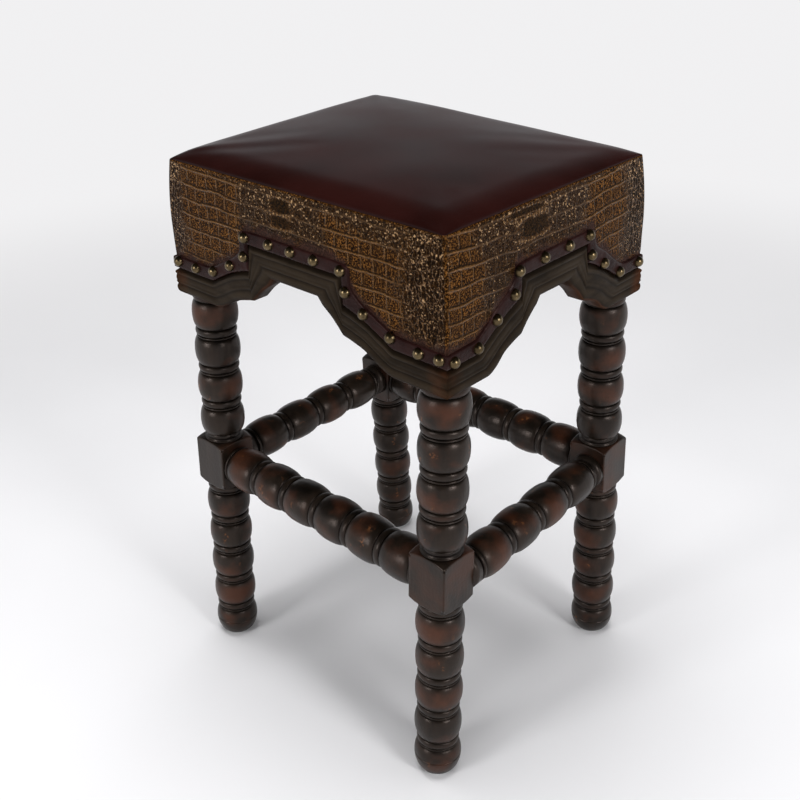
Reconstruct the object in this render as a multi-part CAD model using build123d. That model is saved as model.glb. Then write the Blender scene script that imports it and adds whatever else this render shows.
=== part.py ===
from build123d import *
from math import atan2, cos, sin, sqrt
import os

os.makedirs("parts", exist_ok=True)

# Bar stool in millimetres: +Z up, +X along the long side, -Y the front, origin on the floor under
# the middle of the seat. One corner, the back right one, is worked out and mirrored to the others.

# Heights above the floor
shoulder_z = 567.5      # underside of the apron's ends, where the turned part of a leg stops
stretcher_z = 310.5     # centre line of the four stretchers
apron_h = 122.5         # from the shoulder up to the top of the apron boards
seat_rise = 57.0        # from the top of the apron boards up to the seam round the seat top
crown_rise = 20.0       # middle of the seat above that seam

# Leg: centre line at the floor and at the shoulder
leg_foot_x = 209.1
leg_foot_y = 185.1
leg_top_x = 202.9
leg_top_y = 158.5

# Turning of a leg
bobbin_r = 31.0
bobbin_h = 39.5
notch_r = 24.5
ring_r = 28.0
ring_root_r = 24.5
ring_h = 14.0
upper_bobbin_count = 4
lower_bobbin_count = 4
foot_h = 46.25
foot_belly_z = 28.0
foot_base_r = 15.0
foot_sink = 1.5
block_side = 56.6
block_h = 73.0
block_edge = 2.0
pommel_drop = 4.5
pommel_end_r = 34.0
collar_r = 24.0
collar_root_r = 21.0
collar_h = 8.5
collar_foot_r = 26.5
collar_foot_h = 2.5

# Turning of the stretchers
long_bobbin_r = 30.3
long_notch_r = 23.5
long_ring_r = 26.5
short_bobbin_r = 28.3
short_notch_r = 21.5
short_ring_r = 24.3
long_bobbin_count = 6
long_ring_w = 10.5
long_end_w = 4.6
short_bobbin_count = 4
short_ring_w = 11.0
short_bobbin_w = 52.0
short_neck_w = 4.0
tenon_r = 8.0
tenon_len = 16.5
tenon_fit = 0.1
hole_end_gap = 0.5
trim = 4.0              # extra at a stretcher's end that the slanting block face cuts off

# How far the front and the right stretcher's ends sit off the middle of their blocks
front_left_drop = 1.5
front_right_drop = 4.0
right_front_out = 8.5
right_front_drop = 8.0
right_back_out = 3.5
right_back_drop = 3.5

# Apron: each board with its carved band; the mitred corner is at apron_x, apron_y
apron_x = 235.0
apron_y = 192.5
board_x = 228.5
board_y = 186.0
board_w = 18.0
band_h = 35.0
arch_rise = 66.0
lower_arch_rise = 66.5
band_top_bevel = 4.5
band_foot_bevel = 5.0
band_bevel_depth = 4.0
groove_depth = 1.2
board_chamfer = 4.0

# Leather
skirt_top_x = 224.5
skirt_top_y = 184.5
skirt_low_x = 231.5
skirt_low_y = 189.0
skirt_lean_drop = 24.5  # the sides start to lean in this far below the top of the boards
skirt_lean_power = 1.8
leather_w = 2.2
gimp_w = 1.8
soft_gap = 0.3
gimp_gap = 0.1
wadding_w = 3.0
crown_shoulder = 32.0
crown_shoulder_mid = 12.0
crown_shoulder_rise_share = 0.775
crown_shoulder_mid_share = 0.42

# Seat deck and what fastens it
deck_h = 12.0
deck_inset = 5.0
screw_head_r = 4.0
screw_head_h = 2.5
screw_r = 2.0
screw_len = 32.0
screw_fit = 0.05
deck_screw_x = 150.0
deck_screw_y = 65.0
cover_w = 1.0
cover_gap = 0.1
cover_inset = 1.5
tack_head_r = 4.0
tack_head_h = 0.8
tack_r = 0.8
tack_len = 7.0
tack_inset = 14.0
tack_pitch = 75.0

# Leg post, corner brace and hanger bolt
post_chamfer = 48.0
brace_gap = 0.3
brace_w = 18.0
brace_h = 45.0
brace_drop = 5.0        # top of a brace below the deck
bolt_r = 4.0
bolt_fit = 0.05
bolt_clear = 0.5
bolt_in = 30.0
bolt_out = 3.5
washer_r = 8.0
washer_h = 1.6
nut_across = 13.0
nut_h = 6.5
brace_screw_in = 78.0
brace_screw_wood = 12.0
brace_screw_len = 24.0
brace_screw_pitch = 22.0

# Upholstery nails
nail_r = 7.0
nail_h = 5.8
nail_shank_r = 1.1
nail_shank_len = 8.0
nail_lift = 8.5

overrun = 20.0          # how far any cutting shape runs past what it cuts

# Lines of the scalloped band, from the mitred corner to the middle of a side. Each pair is a share
# of the side's half length and a share of the arch's rise.
long_lower_shares = (
    (1, 0), (0.668, 0), (0.583, 0.09), (0.480, 0.29), (0.387, 0.39),
    (0.336, 0.43), (0.260, 0.69), (0.194, 0.86), (0.162, 1), (0, 1),
)
long_upper_shares = (
    (1, 0), (0.681, 0), (0.600, 0.13), (0.500, 0.31), (0.400, 0.43),
    (0.343, 0.48), (0.343, 0.72), (0.343, 0.92), (0.343, 1), (0, 1),
)
long_gimp_shares = (
    (1, 0.265), (0.690, 0.27), (0.620, 0.37), (0.540, 0.52), (0.455, 0.68),
    (0.405, 0.86), (0.400, 1), (0.400, 1.15), (0.400, 1.27), (0, 1.27),
)
short_lower_shares = (
    (1, 0), (0.629, 0), (0.550, 0.09), (0.475, 0.28), (0.390, 0.39),
    (0.322, 0.45), (0.250, 0.68), (0.172, 0.87), (0.140, 1), (0, 1),
)
short_upper_shares = (
    (1, 0), (0.740, 0), (0.670, 0.12), (0.570, 0.30), (0.440, 0.51),
    (0.335, 0.64), (0.335, 0.80), (0.335, 0.93), (0.335, 1), (0, 1),
)
short_gimp_shares = (
    (1, 0.265), (0.750, 0.27), (0.700, 0.36), (0.620, 0.52), (0.545, 0.70),
    (0.440, 0.88), (0.410, 1.02), (0.400, 1.15), (0.400, 1.27), (0, 1.27),
)

# Nails of a side from its left or front end: shares of the skirt's half length and of the arch's rise
long_nail_shares = (
    (-0.962, 0.04), (-0.805, 0.03), (-0.650, 0.10), (-0.497, 0.35), (-0.374, 0.63), (-0.354, 1.01),
    (-0.162, 1.03), (0, 1.03), (0.167, 1.02), (0.348, 0.99), (0.375, 0.63), (0.491, 0.35),
    (0.662, 0.10), (0.838, 0.01), (0.962, 0.03),
)
short_nail_shares = (
    (-0.952, -0.02), (-0.746, 0.01), (-0.578, 0.34), (-0.416, 0.63), (-0.376, 1.01), (-0.135, 1.04),
    (0.114, 1.04), (0.332, 1.05), (0.371, 0.65), (0.524, 0.36), (0.722, 0.02), (0.952, 0.02),
)

# Grooves of the band: shares of its height at which each starts and ends
groove_shares = ((0.22, 0.28), (0.60, 0.66))

# Heights of the leaning part of the skirt, as shares from skirt_full_z to the seam
lean_shares = (0, 0.25, 0.5, 0.72, 0.88, 1)

room_share = 2.0        # width of the cut at a block, so that a collar beside it is cut as well
nut_sides = 6
quarter = 90.0


def leg_at(z):
    """Centre line of the back right leg at height z."""
    share = z / shoulder_z
    x = leg_foot_x + (leg_top_x - leg_foot_x) * share
    y = leg_foot_y + (leg_top_y - leg_foot_y) * share
    return Vector(x, y, z)


def leg_frame(z):
    """Plane across the leg's centre line at height z."""
    along = (leg_at(shoulder_z) - leg_at(0)).normalized()
    across = (Vector(1, 0, 0) - along * along.X).normalized()
    return Plane(origin=leg_at(z), x_dir=across, z_dir=along)


def bead(root_r, r, low, high):
    """Half round of a turning, from its low end to its high end."""
    centre = (root_r, (low + high) / 2)
    return EllipticalCenterArc(centre, r - root_r, (high - low) / 2, -quarter, arc_size=2 * quarter)


def turning(parts, base):
    """Solid turned about Z from beads given as (root radius, radius, height), from base up."""
    edges = []
    level = base
    last = Vector(0, base)
    for root_r, r, height in parts:
        start = Vector(root_r, level)
        if (start - last).length > 0:
            edges.append(Line(last, start))
        if r > root_r:
            edges.append(bead(root_r, r, level, level + height))
        else:
            edges.append(Line(start, (root_r, level + height)))
        level += height
        last = Vector(root_r, level)
    edges.append(Line(last, (0, level)))
    edges.append(Line((0, level), (0, base)))
    return revolve(Plane.XZ * make_face(edges), Axis.Z)


def beads_row(count, bobbin, divider):
    """A row of bobbins with the same divider between each two of them."""
    row = []
    for index in range(count):
        if index:
            row += divider
        row.append(bobbin)
    return row


def plate(points, low, high):
    """Upright prism over a polygon seen from above."""
    outline = Polyline(*points, close=True)
    return extrude(Plane.XY.offset(low) * make_face(outline), high - low)


def tube_along(start, direction, r, length):
    """Round bar from start along direction."""
    return extrude(Plane(origin=start, z_dir=direction) * Circle(r), length)


deck_z = shoulder_z + apron_h
seam_z = deck_z + seat_rise
skirt_full_z = deck_z - skirt_lean_drop

# Legs

ring = [(ring_root_r, ring_r, ring_h)]
leg_bobbin = (notch_r, bobbin_r, bobbin_h)
block_low = foot_h + lower_bobbin_count * (ring_h + bobbin_h) + ring_h
block_high = block_low + block_h
collar_top = block_high + collar_foot_h + collar_h
upper_top = collar_top + upper_bobbin_count * bobbin_h + (upper_bobbin_count - 1) * ring_h
post_low_x = leg_top_x - bobbin_r
post_low_y = leg_top_y - bobbin_r
post_high_x = board_x - board_w
post_high_y = board_y - board_w


def foot():
    """Round foot, cut flat where it stands."""
    base = (foot_base_r, foot_belly_z)
    neck = (notch_r, foot_belly_z)
    belly_h = foot_belly_z + foot_sink
    neck_h = foot_h - foot_belly_z
    edges = [
        Line((0, -foot_sink), (foot_base_r, -foot_sink)),
        EllipticalCenterArc(base, bobbin_r - foot_base_r, belly_h, -quarter, arc_size=quarter),
        EllipticalCenterArc(neck, bobbin_r - notch_r, neck_h, 0, arc_size=quarter),
        Line((notch_r, foot_h), (0, foot_h)),
        Line((0, foot_h), (0, -foot_sink)),
    ]
    return revolve(Plane.XZ * make_face(edges), Axis.Z)


def block():
    """Square block of the leg, its corners eased by the lathe at both ends."""
    square = extrude(Plane.XY.offset(block_low) * Rectangle(block_side, block_side), block_h)
    square = chamfer(square.edges().filter_by(Axis.Z), block_edge)
    corner_r = pommel_end_r + pommel_drop
    easing = [
        Line((0, block_low), (pommel_end_r, block_low)),
        Line((pommel_end_r, block_low), (corner_r, block_low + pommel_drop)),
        Line((corner_r, block_low + pommel_drop), (corner_r, block_high - pommel_drop)),
        Line((corner_r, block_high - pommel_drop), (pommel_end_r, block_high)),
        Line((pommel_end_r, block_high), (0, block_high)),
        Line((0, block_high), (0, block_low)),
    ]
    return square & revolve(Plane.XZ * make_face(easing), Axis.Z)


stretcher_end = leg_at(stretcher_z)
long_reach = stretcher_end.X - block_side / 2
short_reach = stretcher_end.Y - block_side / 2


class Rail:
    """Centre line of a stretcher, from the face of one block to the face of the other."""

    def __init__(self, start, end):
        self.start = start
        self.end = end
        self.direction = (end - start).normalized()
        self.length = (end - start).length


def long_rail(side, left_drop, right_drop):
    """Centre line of the front (side -1) or back (side 1) stretcher."""
    y = stretcher_end.Y * side
    left_end = Vector(-long_reach, y, stretcher_z - left_drop)
    return Rail(left_end, Vector(long_reach, y, stretcher_z - right_drop))


def short_rail(side, front_out, front_drop, back_out, back_drop):
    """Centre line of the left (side -1) or right (side 1) stretcher."""
    front_end = Vector((stretcher_end.X + front_out) * side, -short_reach, stretcher_z - front_drop)
    back_end = Vector((stretcher_end.X + back_out) * side, short_reach, stretcher_z - back_drop)
    return Rail(front_end, back_end)


rails = {
    "front": long_rail(-1, front_left_drop, front_right_drop),
    "back": long_rail(1, 0, 0),
    "left": short_rail(-1, 0, 0, 0, 0),
    "right": short_rail(1, right_front_out, right_front_drop, right_back_out, right_back_drop),
}


def mortise(point, direction):
    """Blind hole in a block for a stretcher's tenon, which goes in along direction."""
    start = point - direction * overrun
    return tube_along(start, direction, tenon_r + tenon_fit, overrun + tenon_len + hole_end_gap)


def post():
    """Square top of the leg, which stands inside the apron's corner."""
    inner = post_chamfer * sqrt(2)
    corner = (post_high_x, post_high_y)
    cut_x = post_high_x + post_high_y - post_low_y - inner
    cut_y = post_high_x + post_high_y - post_low_x - inner
    points = [corner, (post_low_x, post_high_y), (post_low_x, cut_y), (cut_x, post_low_y)]
    points.append((post_high_x, post_low_y))
    return plate(points, shoulder_z, deck_z)


def brace_axis(distance, z):
    """Point on the diagonal of the corner, at a distance from the inside corner of the boards."""
    step = distance / sqrt(2)
    return Vector(post_high_x - step, post_high_y - step, z)


brace_top_z = deck_z - brace_drop
bolt_z = brace_top_z - brace_h / 2
bolt_dir = Vector(-1, -1, 0).normalized()
brace_low = post_chamfer + brace_gap
brace_high = brace_low + brace_w


def leg():
    """Turned leg at its splay, with its block, its post and the holes for what enters it."""
    top_beads = [(collar_foot_r, collar_foot_r, collar_foot_h), (collar_root_r, collar_r, collar_h)]
    top_beads += beads_row(upper_bobbin_count, leg_bobbin, ring)
    top_beads.append((notch_r, ring_r, shoulder_z - upper_top))
    top_beads.append((ring_root_r, ring_root_r, trim))
    low_beads = beads_row(lower_bobbin_count, leg_bobbin, ring)
    turned = foot() + turning(ring + low_beads + ring, foot_h) + block() + turning(top_beads, block_high)
    placed = leg_frame(0).location * turned
    span = 2 * (leg_foot_x + bobbin_r + overrun)
    room = extrude(Plane.XY * Rectangle(span, span), shoulder_z)
    placed = (placed & room) + post()
    hole = brace_axis(post_chamfer - bolt_in - hole_end_gap, bolt_z)
    placed -= tube_along(hole, bolt_dir, bolt_r + bolt_fit, bolt_in + overrun)
    return placed


# Stretchers

def block_room(x_share, y_share):
    """Room of the back right leg's block, widened in X or Y by a share of its side."""
    size = Rectangle(block_side * x_share, block_side * y_share)
    return extrude(leg_frame(0).location * (Plane.XY.offset(block_low) * size), block_h)


def stretcher(name, beads, room):
    """Turned rail between two legs, cut to their slanting blocks, with a tenon at each end."""
    rail = rails[name]
    middle = (rail.start + rail.end) / 2
    body = Plane(origin=middle, z_dir=rail.direction) * turning(beads, -rail.length / 2 - trim)
    for corner_room in four(room).values():
        body -= corner_room
    length = tenon_r + tenon_len
    body += tube_along(rail.start + rail.direction * tenon_r, -rail.direction, tenon_r, length)
    return body + tube_along(rail.end - rail.direction * tenon_r, rail.direction, tenon_r, length)


def long_stretcher(name):
    bobbins_w = rails[name].length - 2 * long_end_w - (long_bobbin_count - 1) * long_ring_w
    bobbin = (long_notch_r, long_bobbin_r, bobbins_w / long_bobbin_count)
    divider = [(long_notch_r, long_ring_r, long_ring_w)]
    end = [(long_notch_r, long_ring_r, long_end_w)]
    stub = [(long_notch_r, long_notch_r, trim)]
    beads = stub + end + beads_row(long_bobbin_count, bobbin, divider) + end + stub
    return stretcher(name, beads, block_room(1, room_share))


def short_stretcher(name):
    row_w = short_bobbin_count * short_bobbin_w + (short_bobbin_count - 1) * short_ring_w
    collar_w = rails[name].length / 2 - row_w / 2 - short_neck_w - short_ring_w / 2
    bobbin = (short_notch_r, short_bobbin_r, short_bobbin_w)
    divider = [(short_notch_r, short_ring_r, short_ring_w)]
    neck = (short_notch_r, short_notch_r, short_neck_w)
    bead_end = (short_notch_r, short_ring_r, short_ring_w / 2)
    collar = (short_ring_r, short_ring_r, collar_w + trim)
    row = beads_row(short_bobbin_count, bobbin, divider)
    beads = [collar, neck, bead_end] + row + [bead_end, neck, collar]
    return stretcher(name, beads, block_room(room_share, 1))


# Lines of the scalloped sides

def line_points(shares, half, base, rise):
    """Places of a line's shares on a side of the given half length, above the given height."""
    return [Vector(x * half, base + z * rise) for x, z in shares]


def between(upper, lower, share):
    """Line that lies a share of the way down from the upper line to the lower one."""
    return [a + (b - a) * share for a, b in zip(upper, lower)]


def half_line(points, side):
    """Edges of a line on one half of a side: level, rising curve, step, corner."""
    put = [Vector(point.X * side, point.Y) for point in points]
    level = Line(put[0], put[1])
    rise = Spline(*put[1:6], tangents=[(-side, 0), put[5] - put[4]])
    step = Spline(*put[5:8])
    corner = Line(put[7], put[8])
    return [level, rise, step, corner]


def whole_line(points):
    """Edges of a line over both halves of a side."""
    middle = Line(points[8], Vector(-points[8].X, points[8].Y))
    return half_line(points, 1) + [middle] + half_line(points, -1)


def strip_face(upper, lower):
    """Face between two lines of a side."""
    edges = whole_line(upper) + whole_line(lower)
    for side in (1, -1):
        top = Vector(upper[0].X * side, upper[0].Y)
        low = Vector(lower[0].X * side, lower[0].Y)
        edges.append(Line(top, low))
    return make_face(edges)


def above_face(lower, top):
    """Face from a line of a side up to a level top."""
    edges = whole_line(lower)
    half = lower[0].X
    edges.append(Line((half, lower[0].Y), (half, top)))
    edges.append(Line((half, top), (-half, top)))
    edges.append(Line((-half, top), (-half, lower[0].Y)))
    return make_face(edges)


def raised(points, out, up):
    """A line moved out from the middle and up, to leave room beside the wood."""
    moved = [point + Vector(out, up) for point in points]
    moved[-1] = Vector(0, moved[-1].Y)
    return moved


class Side:
    """One side of the seat: where its planes lie and which lines it follows."""

    def __init__(self, plane, half, apron, board, skirt, upper, lower, gimp, nails):
        self.plane = plane
        self.half = half
        self.apron = apron
        self.board = board
        self.skirt = skirt
        self.upper = line_points(upper, half, shoulder_z + band_h, arch_rise)
        self.lower = line_points(lower, half, shoulder_z, lower_arch_rise)
        self.gimp = line_points(gimp, half, shoulder_z + band_h, arch_rise)
        self.nails = nails

    def at(self, distance):
        return self.plane.offset(distance)


front = Side(
    Plane.XZ, apron_x, apron_y, board_y, skirt_low_y,
    long_upper_shares, long_lower_shares, long_gimp_shares, long_nail_shares,
)
right = Side(
    Plane.YZ, apron_y, apron_x, board_x, skirt_low_x,
    short_upper_shares, short_lower_shares, short_gimp_shares, short_nail_shares,
)
sides = {"front": front, "right": right}
opposite = {"front": "back", "right": "left"}
flips = {"front": Plane.XZ, "right": Plane.YZ}


def wedge(name, corner, toward):
    """Upright prism that holds one side, cut at the corners along the line from corner to toward."""
    step = Vector(*corner) - Vector(*toward)
    out = Vector(*corner) + step.normalized() * overrun
    back = Vector(*corner) - step * (corner[1] / step.Y)
    low = shoulder_z - overrun
    high = seam_z + crown_rise + overrun
    if name == "front":
        far = back.X
        points = [(out.X, -out.Y), (-out.X, -out.Y), (-far, 0), (far, 0)]
        if far <= 0:
            points = [(out.X, -out.Y), (-out.X, -out.Y), (0, 0)]
        return plate(points, low, high)
    end = max(back.X, 0)
    points = [(out.X, out.Y), (out.X, -out.Y), (end, 0)]
    return plate(points, low, high)


# Aprons

def apron(name):
    """Board of one side with its carved band, mitred at both ends."""
    side = sides[name]
    board = extrude(side.at(side.board - board_w) * above_face(side.lower, deck_z), board_w)
    edge = board.edges().group_by(Axis.Z)[-1]
    outer = edge.sort_by(Axis.Y)[0] if name == "front" else edge.sort_by(Axis.X)[-1]
    board = chamfer(outer, board_chamfer)
    low_share = 1 - band_foot_bevel / band_h
    ridge = between(side.upper, side.lower, band_top_bevel / band_h)
    heel = between(side.upper, side.lower, low_share)
    root = strip_face(side.upper, side.lower)
    face = strip_face(ridge, heel)
    bevel_plane = side.apron - band_bevel_depth
    band = extrude(side.at(side.board) * root, bevel_plane - side.board)
    band += loft([side.at(bevel_plane) * root, side.at(side.apron) * face], ruled=True)
    for start, end in groove_shares:
        cut = strip_face(between(side.upper, side.lower, start), between(side.upper, side.lower, end))
        band -= extrude(side.at(side.apron - groove_depth) * cut, overrun)
    body = board + band
    return body & wedge(name, (apron_x, apron_y), (board_x - board_w, board_y - board_w))


# Corner braces and their fasteners

def diagonal_plate(low, high, slack):
    """Points of a slab across the corner, its ends against the boards."""
    points = []
    for distance, end in ((low, 1), (low, -1), (high, -1), (high, 1)):
        reach = (distance - slack) * end
        middle = brace_axis(distance, 0)
        points.append((middle.X + reach / sqrt(2), middle.Y - reach / sqrt(2)))
    return points


def brace_screws_at():
    """Seats and directions of one brace's four screws."""
    seats = []
    for step in (-brace_screw_pitch / 2, brace_screw_pitch / 2):
        x = post_high_x - brace_screw_in
        seats.append((Vector(x, post_high_y - brace_screw_wood, bolt_z + step), Vector(0, 1, 0)))
        y = post_high_y - brace_screw_in
        seats.append((Vector(post_high_x - brace_screw_wood, y, bolt_z + step), Vector(1, 0, 0)))
    return seats


def brace():
    points = diagonal_plate(brace_low, brace_high, brace_gap)
    body = plate(points, brace_top_z - brace_h, brace_top_z)
    start = brace_axis(brace_low - overrun, bolt_z)
    body -= tube_along(start, bolt_dir, bolt_r + bolt_clear, 2 * overrun + brace_w)
    for seat, direction in brace_screws_at():
        body -= tube_along(seat - direction * overrun, direction, screw_head_r + bolt_clear, overrun)
        body -= tube_along(seat, direction, screw_r + screw_fit, brace_screw_len)
    return body


def screw(seat, direction, length):
    """Screw whose head rests on its seat."""
    head = tube_along(seat - direction * screw_head_h, direction, screw_head_r, screw_head_h)
    return head + tube_along(seat, direction, screw_r, length)


def hanger_bolt():
    start = brace_axis(post_chamfer - bolt_in, bolt_z)
    length = brace_high + washer_h + nut_h + bolt_out - (post_chamfer - bolt_in)
    return tube_along(start, bolt_dir, bolt_r, length)


def washer():
    place = Plane(origin=brace_axis(brace_high, bolt_z), z_dir=bolt_dir)
    return extrude(place * (Circle(washer_r) - Circle(bolt_r + bolt_clear)), washer_h)


def nut():
    place = Plane(origin=brace_axis(brace_high + washer_h, bolt_z), z_dir=bolt_dir)
    hexagon = RegularPolygon(nut_across / 2, nut_sides, major_radius=False)
    return extrude(place * (hexagon - Circle(bolt_r + bolt_fit)), nut_h)


# Seat

def lean(z):
    """Share of the skirt's full spread that it has at height z."""
    if z <= skirt_full_z:
        return 1.0
    return 1 - ((z - skirt_full_z) / (seam_z - skirt_full_z)) ** skirt_lean_power


def seat_section(z, inset):
    """Plan of the seat at height z, drawn in by inset."""
    x = skirt_top_x + (skirt_low_x - skirt_top_x) * lean(z) - inset
    y = skirt_top_y + (skirt_low_y - skirt_top_y) * lean(z) - inset
    return Plane.XY.offset(z) * Rectangle(2 * x, 2 * y)


def crown_profile(half, base, inset):
    """Side view of the crowned top, over a level base."""
    shoulder = seam_z + crown_rise * crown_shoulder_rise_share - inset
    middle = seam_z + crown_rise * crown_shoulder_mid_share - inset
    top = seam_z + crown_rise - inset
    edge = half - inset
    inner = half - crown_shoulder
    turn = half - crown_shoulder_mid - inset / 2
    edges = [
        Line((-edge, base), (edge, base)),
        Line((edge, base), (edge, seam_z - inset)),
        ThreePointArc((edge, seam_z - inset), (turn, middle), (inner, shoulder)),
        ThreePointArc((inner, shoulder), (0, top), (-inner, shoulder)),
        ThreePointArc((-inner, shoulder), (-turn, middle), (-edge, seam_z - inset)),
        Line((-edge, seam_z - inset), (-edge, base)),
    ]
    return make_face(edges)


def seat_body(inset, base):
    """The stuffed seat drawn in by inset all over, from a base height to its crown."""
    levels = [base] if base < skirt_full_z else []
    levels += [skirt_full_z + share * (seam_z - skirt_full_z) for share in lean_shares]
    levels = [z for z in levels if z >= base]
    if levels[0] > base:
        levels.insert(0, base)
    body = loft([seat_section(z, inset) for z in levels], ruled=True)
    crown_base = (base + seam_z) / 2
    along = crown_profile(skirt_top_x, crown_base, inset)
    across = crown_profile(skirt_top_y, crown_base, inset)
    reach = 2 * skirt_low_x
    crown = extrude(Plane.XZ.offset(-reach / 2) * along, reach)
    crown &= extrude(Plane.YZ.offset(-reach / 2) * across, reach)
    return body + crown


def slab(low, high):
    """Level slice of the whole seat's room."""
    span = 2 * (skirt_low_x + overrun)
    return extrude(Plane.XY.offset(low) * Rectangle(span, span), high - low)


cover_base = shoulder_z
top_limit = seam_z + crown_rise + overrun
foam_base = deck_z + deck_h
wadding_inset = leather_w + soft_gap
foam_inset = wadding_inset + wadding_w + soft_gap


def leather_shell():
    return seat_body(0, cover_base) - seat_body(leather_w, cover_base - overrun)


def leather_top(shell):
    return shell & slab(seam_z, top_limit)


def skirt(name, shell):
    """Embossed leather side, cut along the wood below and seamed at the corners."""
    side = sides[name]
    keep = above_face(raised(side.upper, soft_gap, soft_gap), top_limit)
    body = shell & slab(cover_base, seam_z)
    body &= extrude(side.at(0) * keep, side.apron + overrun)
    return body & wedge(name, (skirt_low_x, skirt_low_y), (skirt_top_x, skirt_top_y))


def wadding():
    body = seat_body(wadding_inset, foam_base)
    return body - seat_body(wadding_inset + wadding_w, foam_base - overrun)


def foam():
    return seat_body(foam_inset, foam_base)


def gimp(name):
    """Strip of plain leather along the wood, mitred at the corners."""
    side = sides[name]
    face = strip_face(side.gimp, raised(side.upper, soft_gap, soft_gap))
    body = extrude(side.at(side.skirt + gimp_gap) * face, gimp_w)
    outer_x = skirt_low_x + gimp_gap + gimp_w
    outer_y = skirt_low_y + gimp_gap + gimp_w
    return body & wedge(name, (outer_x, outer_y), (outer_x - gimp_w, outer_y - gimp_w))


# Nails

def nail_places(name):
    """Seats of one side's nails on its strip, and the way their shanks go."""
    side = sides[name]
    half = skirt_low_x if name == "front" else skirt_low_y
    out = side.skirt + gimp_gap + gimp_w
    places = []
    for along, up in side.nails:
        z = shoulder_z + band_h + nail_lift + up * arch_rise
        step = along * half
        places.append(Vector(step, -out, z) if name == "front" else Vector(out, step, z))
    return places


def nail_inward(name):
    return Vector(0, 1, 0) if name == "front" else Vector(-1, 0, 0)


def domed_nail(place, inward):
    """Nail with a domed head, its underside on the leather."""
    ball_r = (nail_r ** 2 + nail_h ** 2) / (2 * nail_h)
    rim = atan2(nail_r, ball_r - nail_h) / 2
    middle = (ball_r * sin(rim), ball_r * cos(rim) - ball_r + nail_h)
    edges = [
        Line((0, 0), (nail_r, 0)),
        ThreePointArc((nail_r, 0), middle, (0, nail_h)),
        Line((0, nail_h), (0, 0)),
    ]
    dome = revolve(Plane.XZ * make_face(edges), Axis.Z)
    head = Plane(origin=place, z_dir=-inward) * dome
    return head + tube_along(place, inward, nail_shank_r, nail_shank_len)


def nail_holes(name):
    """Holes that one side's shanks fill."""
    inward = nail_inward(name)
    r = nail_shank_r + screw_fit
    length = nail_shank_len + hole_end_gap
    return [tube_along(place, inward, r, length) for place in nail_places(name)]


# Deck, its screws and the dust cover under it

def deck_screw_seats():
    mid_x = board_x - board_w / 2
    mid_y = board_y - board_w / 2
    seats = []
    for x, y in ((deck_screw_x, mid_y), (mid_x, deck_screw_y)):
        for sx in (1, -1):
            for sy in (1, -1):
                seats.append(Vector(x * sx, y * sy, foam_base - screw_head_h))
    return seats


def cover_half():
    return post_high_x - cover_inset, post_high_y - cover_inset


def tack_places():
    """Places of the tacks along the dust cover's edges."""
    half_x, half_y = cover_half()
    places = []
    for run, offset, turned in ((half_x, half_y, False), (half_y, half_x, True)):
        reach = run - post_chamfer * sqrt(2)
        count = 2 * round(reach / tack_pitch) + 1
        for index in range(count):
            step = -reach + 2 * reach * index / (count - 1)
            side_place = offset - tack_inset
            for sign in (1, -1):
                point = (side_place * sign, step) if turned else (step, side_place * sign)
                places.append(Vector(*point, deck_z - cover_gap - cover_w))
    return places


def dust_cover():
    half_x, half_y = cover_half()
    cut = (post_chamfer + brace_gap) * sqrt(2)
    points = []
    for sx, sy in ((1, 1), (-1, 1), (-1, -1), (1, -1)):
        near = (half_x * sx, (half_y - cut) * sy)
        far = ((half_x - cut) * sx, half_y * sy)
        points += [near, far] if sx * sy > 0 else [far, near]
    sheet = plate(points, deck_z - cover_gap - cover_w, deck_z - cover_gap)
    for place in tack_places():
        sheet -= tube_along(place, Vector(0, 0, 1), tack_r + screw_fit, tack_len)
    return sheet


def deck():
    size = Rectangle(2 * (skirt_low_x - deck_inset), 2 * (skirt_low_y - deck_inset))
    board = extrude(Plane.XY.offset(deck_z) * size, deck_h)
    for seat in deck_screw_seats():
        board -= tube_along(seat, Vector(0, 0, 1), screw_head_r + bolt_clear, overrun)
        board -= tube_along(seat, Vector(0, 0, -1), screw_r + screw_fit, screw_len)
    for place in tack_places():
        board -= tube_along(place, Vector(0, 0, 1), tack_r + screw_fit, tack_len + hole_end_gap)
    return board


def tack(place):
    up = Vector(0, 0, 1)
    head = tube_along(place, -up, tack_head_r, tack_head_h)
    return head + tube_along(place, up, tack_r, tack_len)


# Writing the pieces

def four(shape):
    """The shape of the back right corner, at all four corners."""
    over = mirror(shape, Plane.YZ)
    return {
        "back_right": shape,
        "back_left": over,
        "front_right": mirror(shape, Plane.XZ),
        "front_left": mirror(over, Plane.XZ),
    }


def write(name, shape):
    """Save one piece, or a group of like pieces, under its name."""
    solids = shape if isinstance(shape, list) else shape.solids()
    whole = solids[0] if len(solids) == 1 else Compound(children=solids)
    whole.label = name
    export_step(whole, "parts/" + name + ".step")


def write_group(name, shapes):
    solids = []
    for shape in shapes:
        solids += shape.solids()
    write(name, solids)


def write_frame():
    for corner, shape in four(leg()).items():
        y_side, x_side = corner.split("_")
        for name, at_end in ((y_side, x_side == "right"), (x_side, y_side == "back")):
            rail = rails[name]
            if at_end:
                shape -= mortise(rail.end, rail.direction)
            else:
                shape -= mortise(rail.start, -rail.direction)
        write("leg_" + corner, shape)
    for name in ("front", "back"):
        write("stretcher_" + name, long_stretcher(name))
    for name in ("left", "right"):
        write("stretcher_" + name, short_stretcher(name))
    for corner, shape in four(brace()).items():
        write("corner_brace_" + corner, shape)
    write_group("hanger_bolts", four(hanger_bolt()).values())
    write_group("hanger_washers", four(washer()).values())
    write_group("hanger_nuts", four(nut()).values())
    screws = []
    for seat, direction in brace_screws_at():
        screws += four(screw(seat, direction, brace_screw_len)).values()
    write_group("brace_screws", screws)


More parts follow.
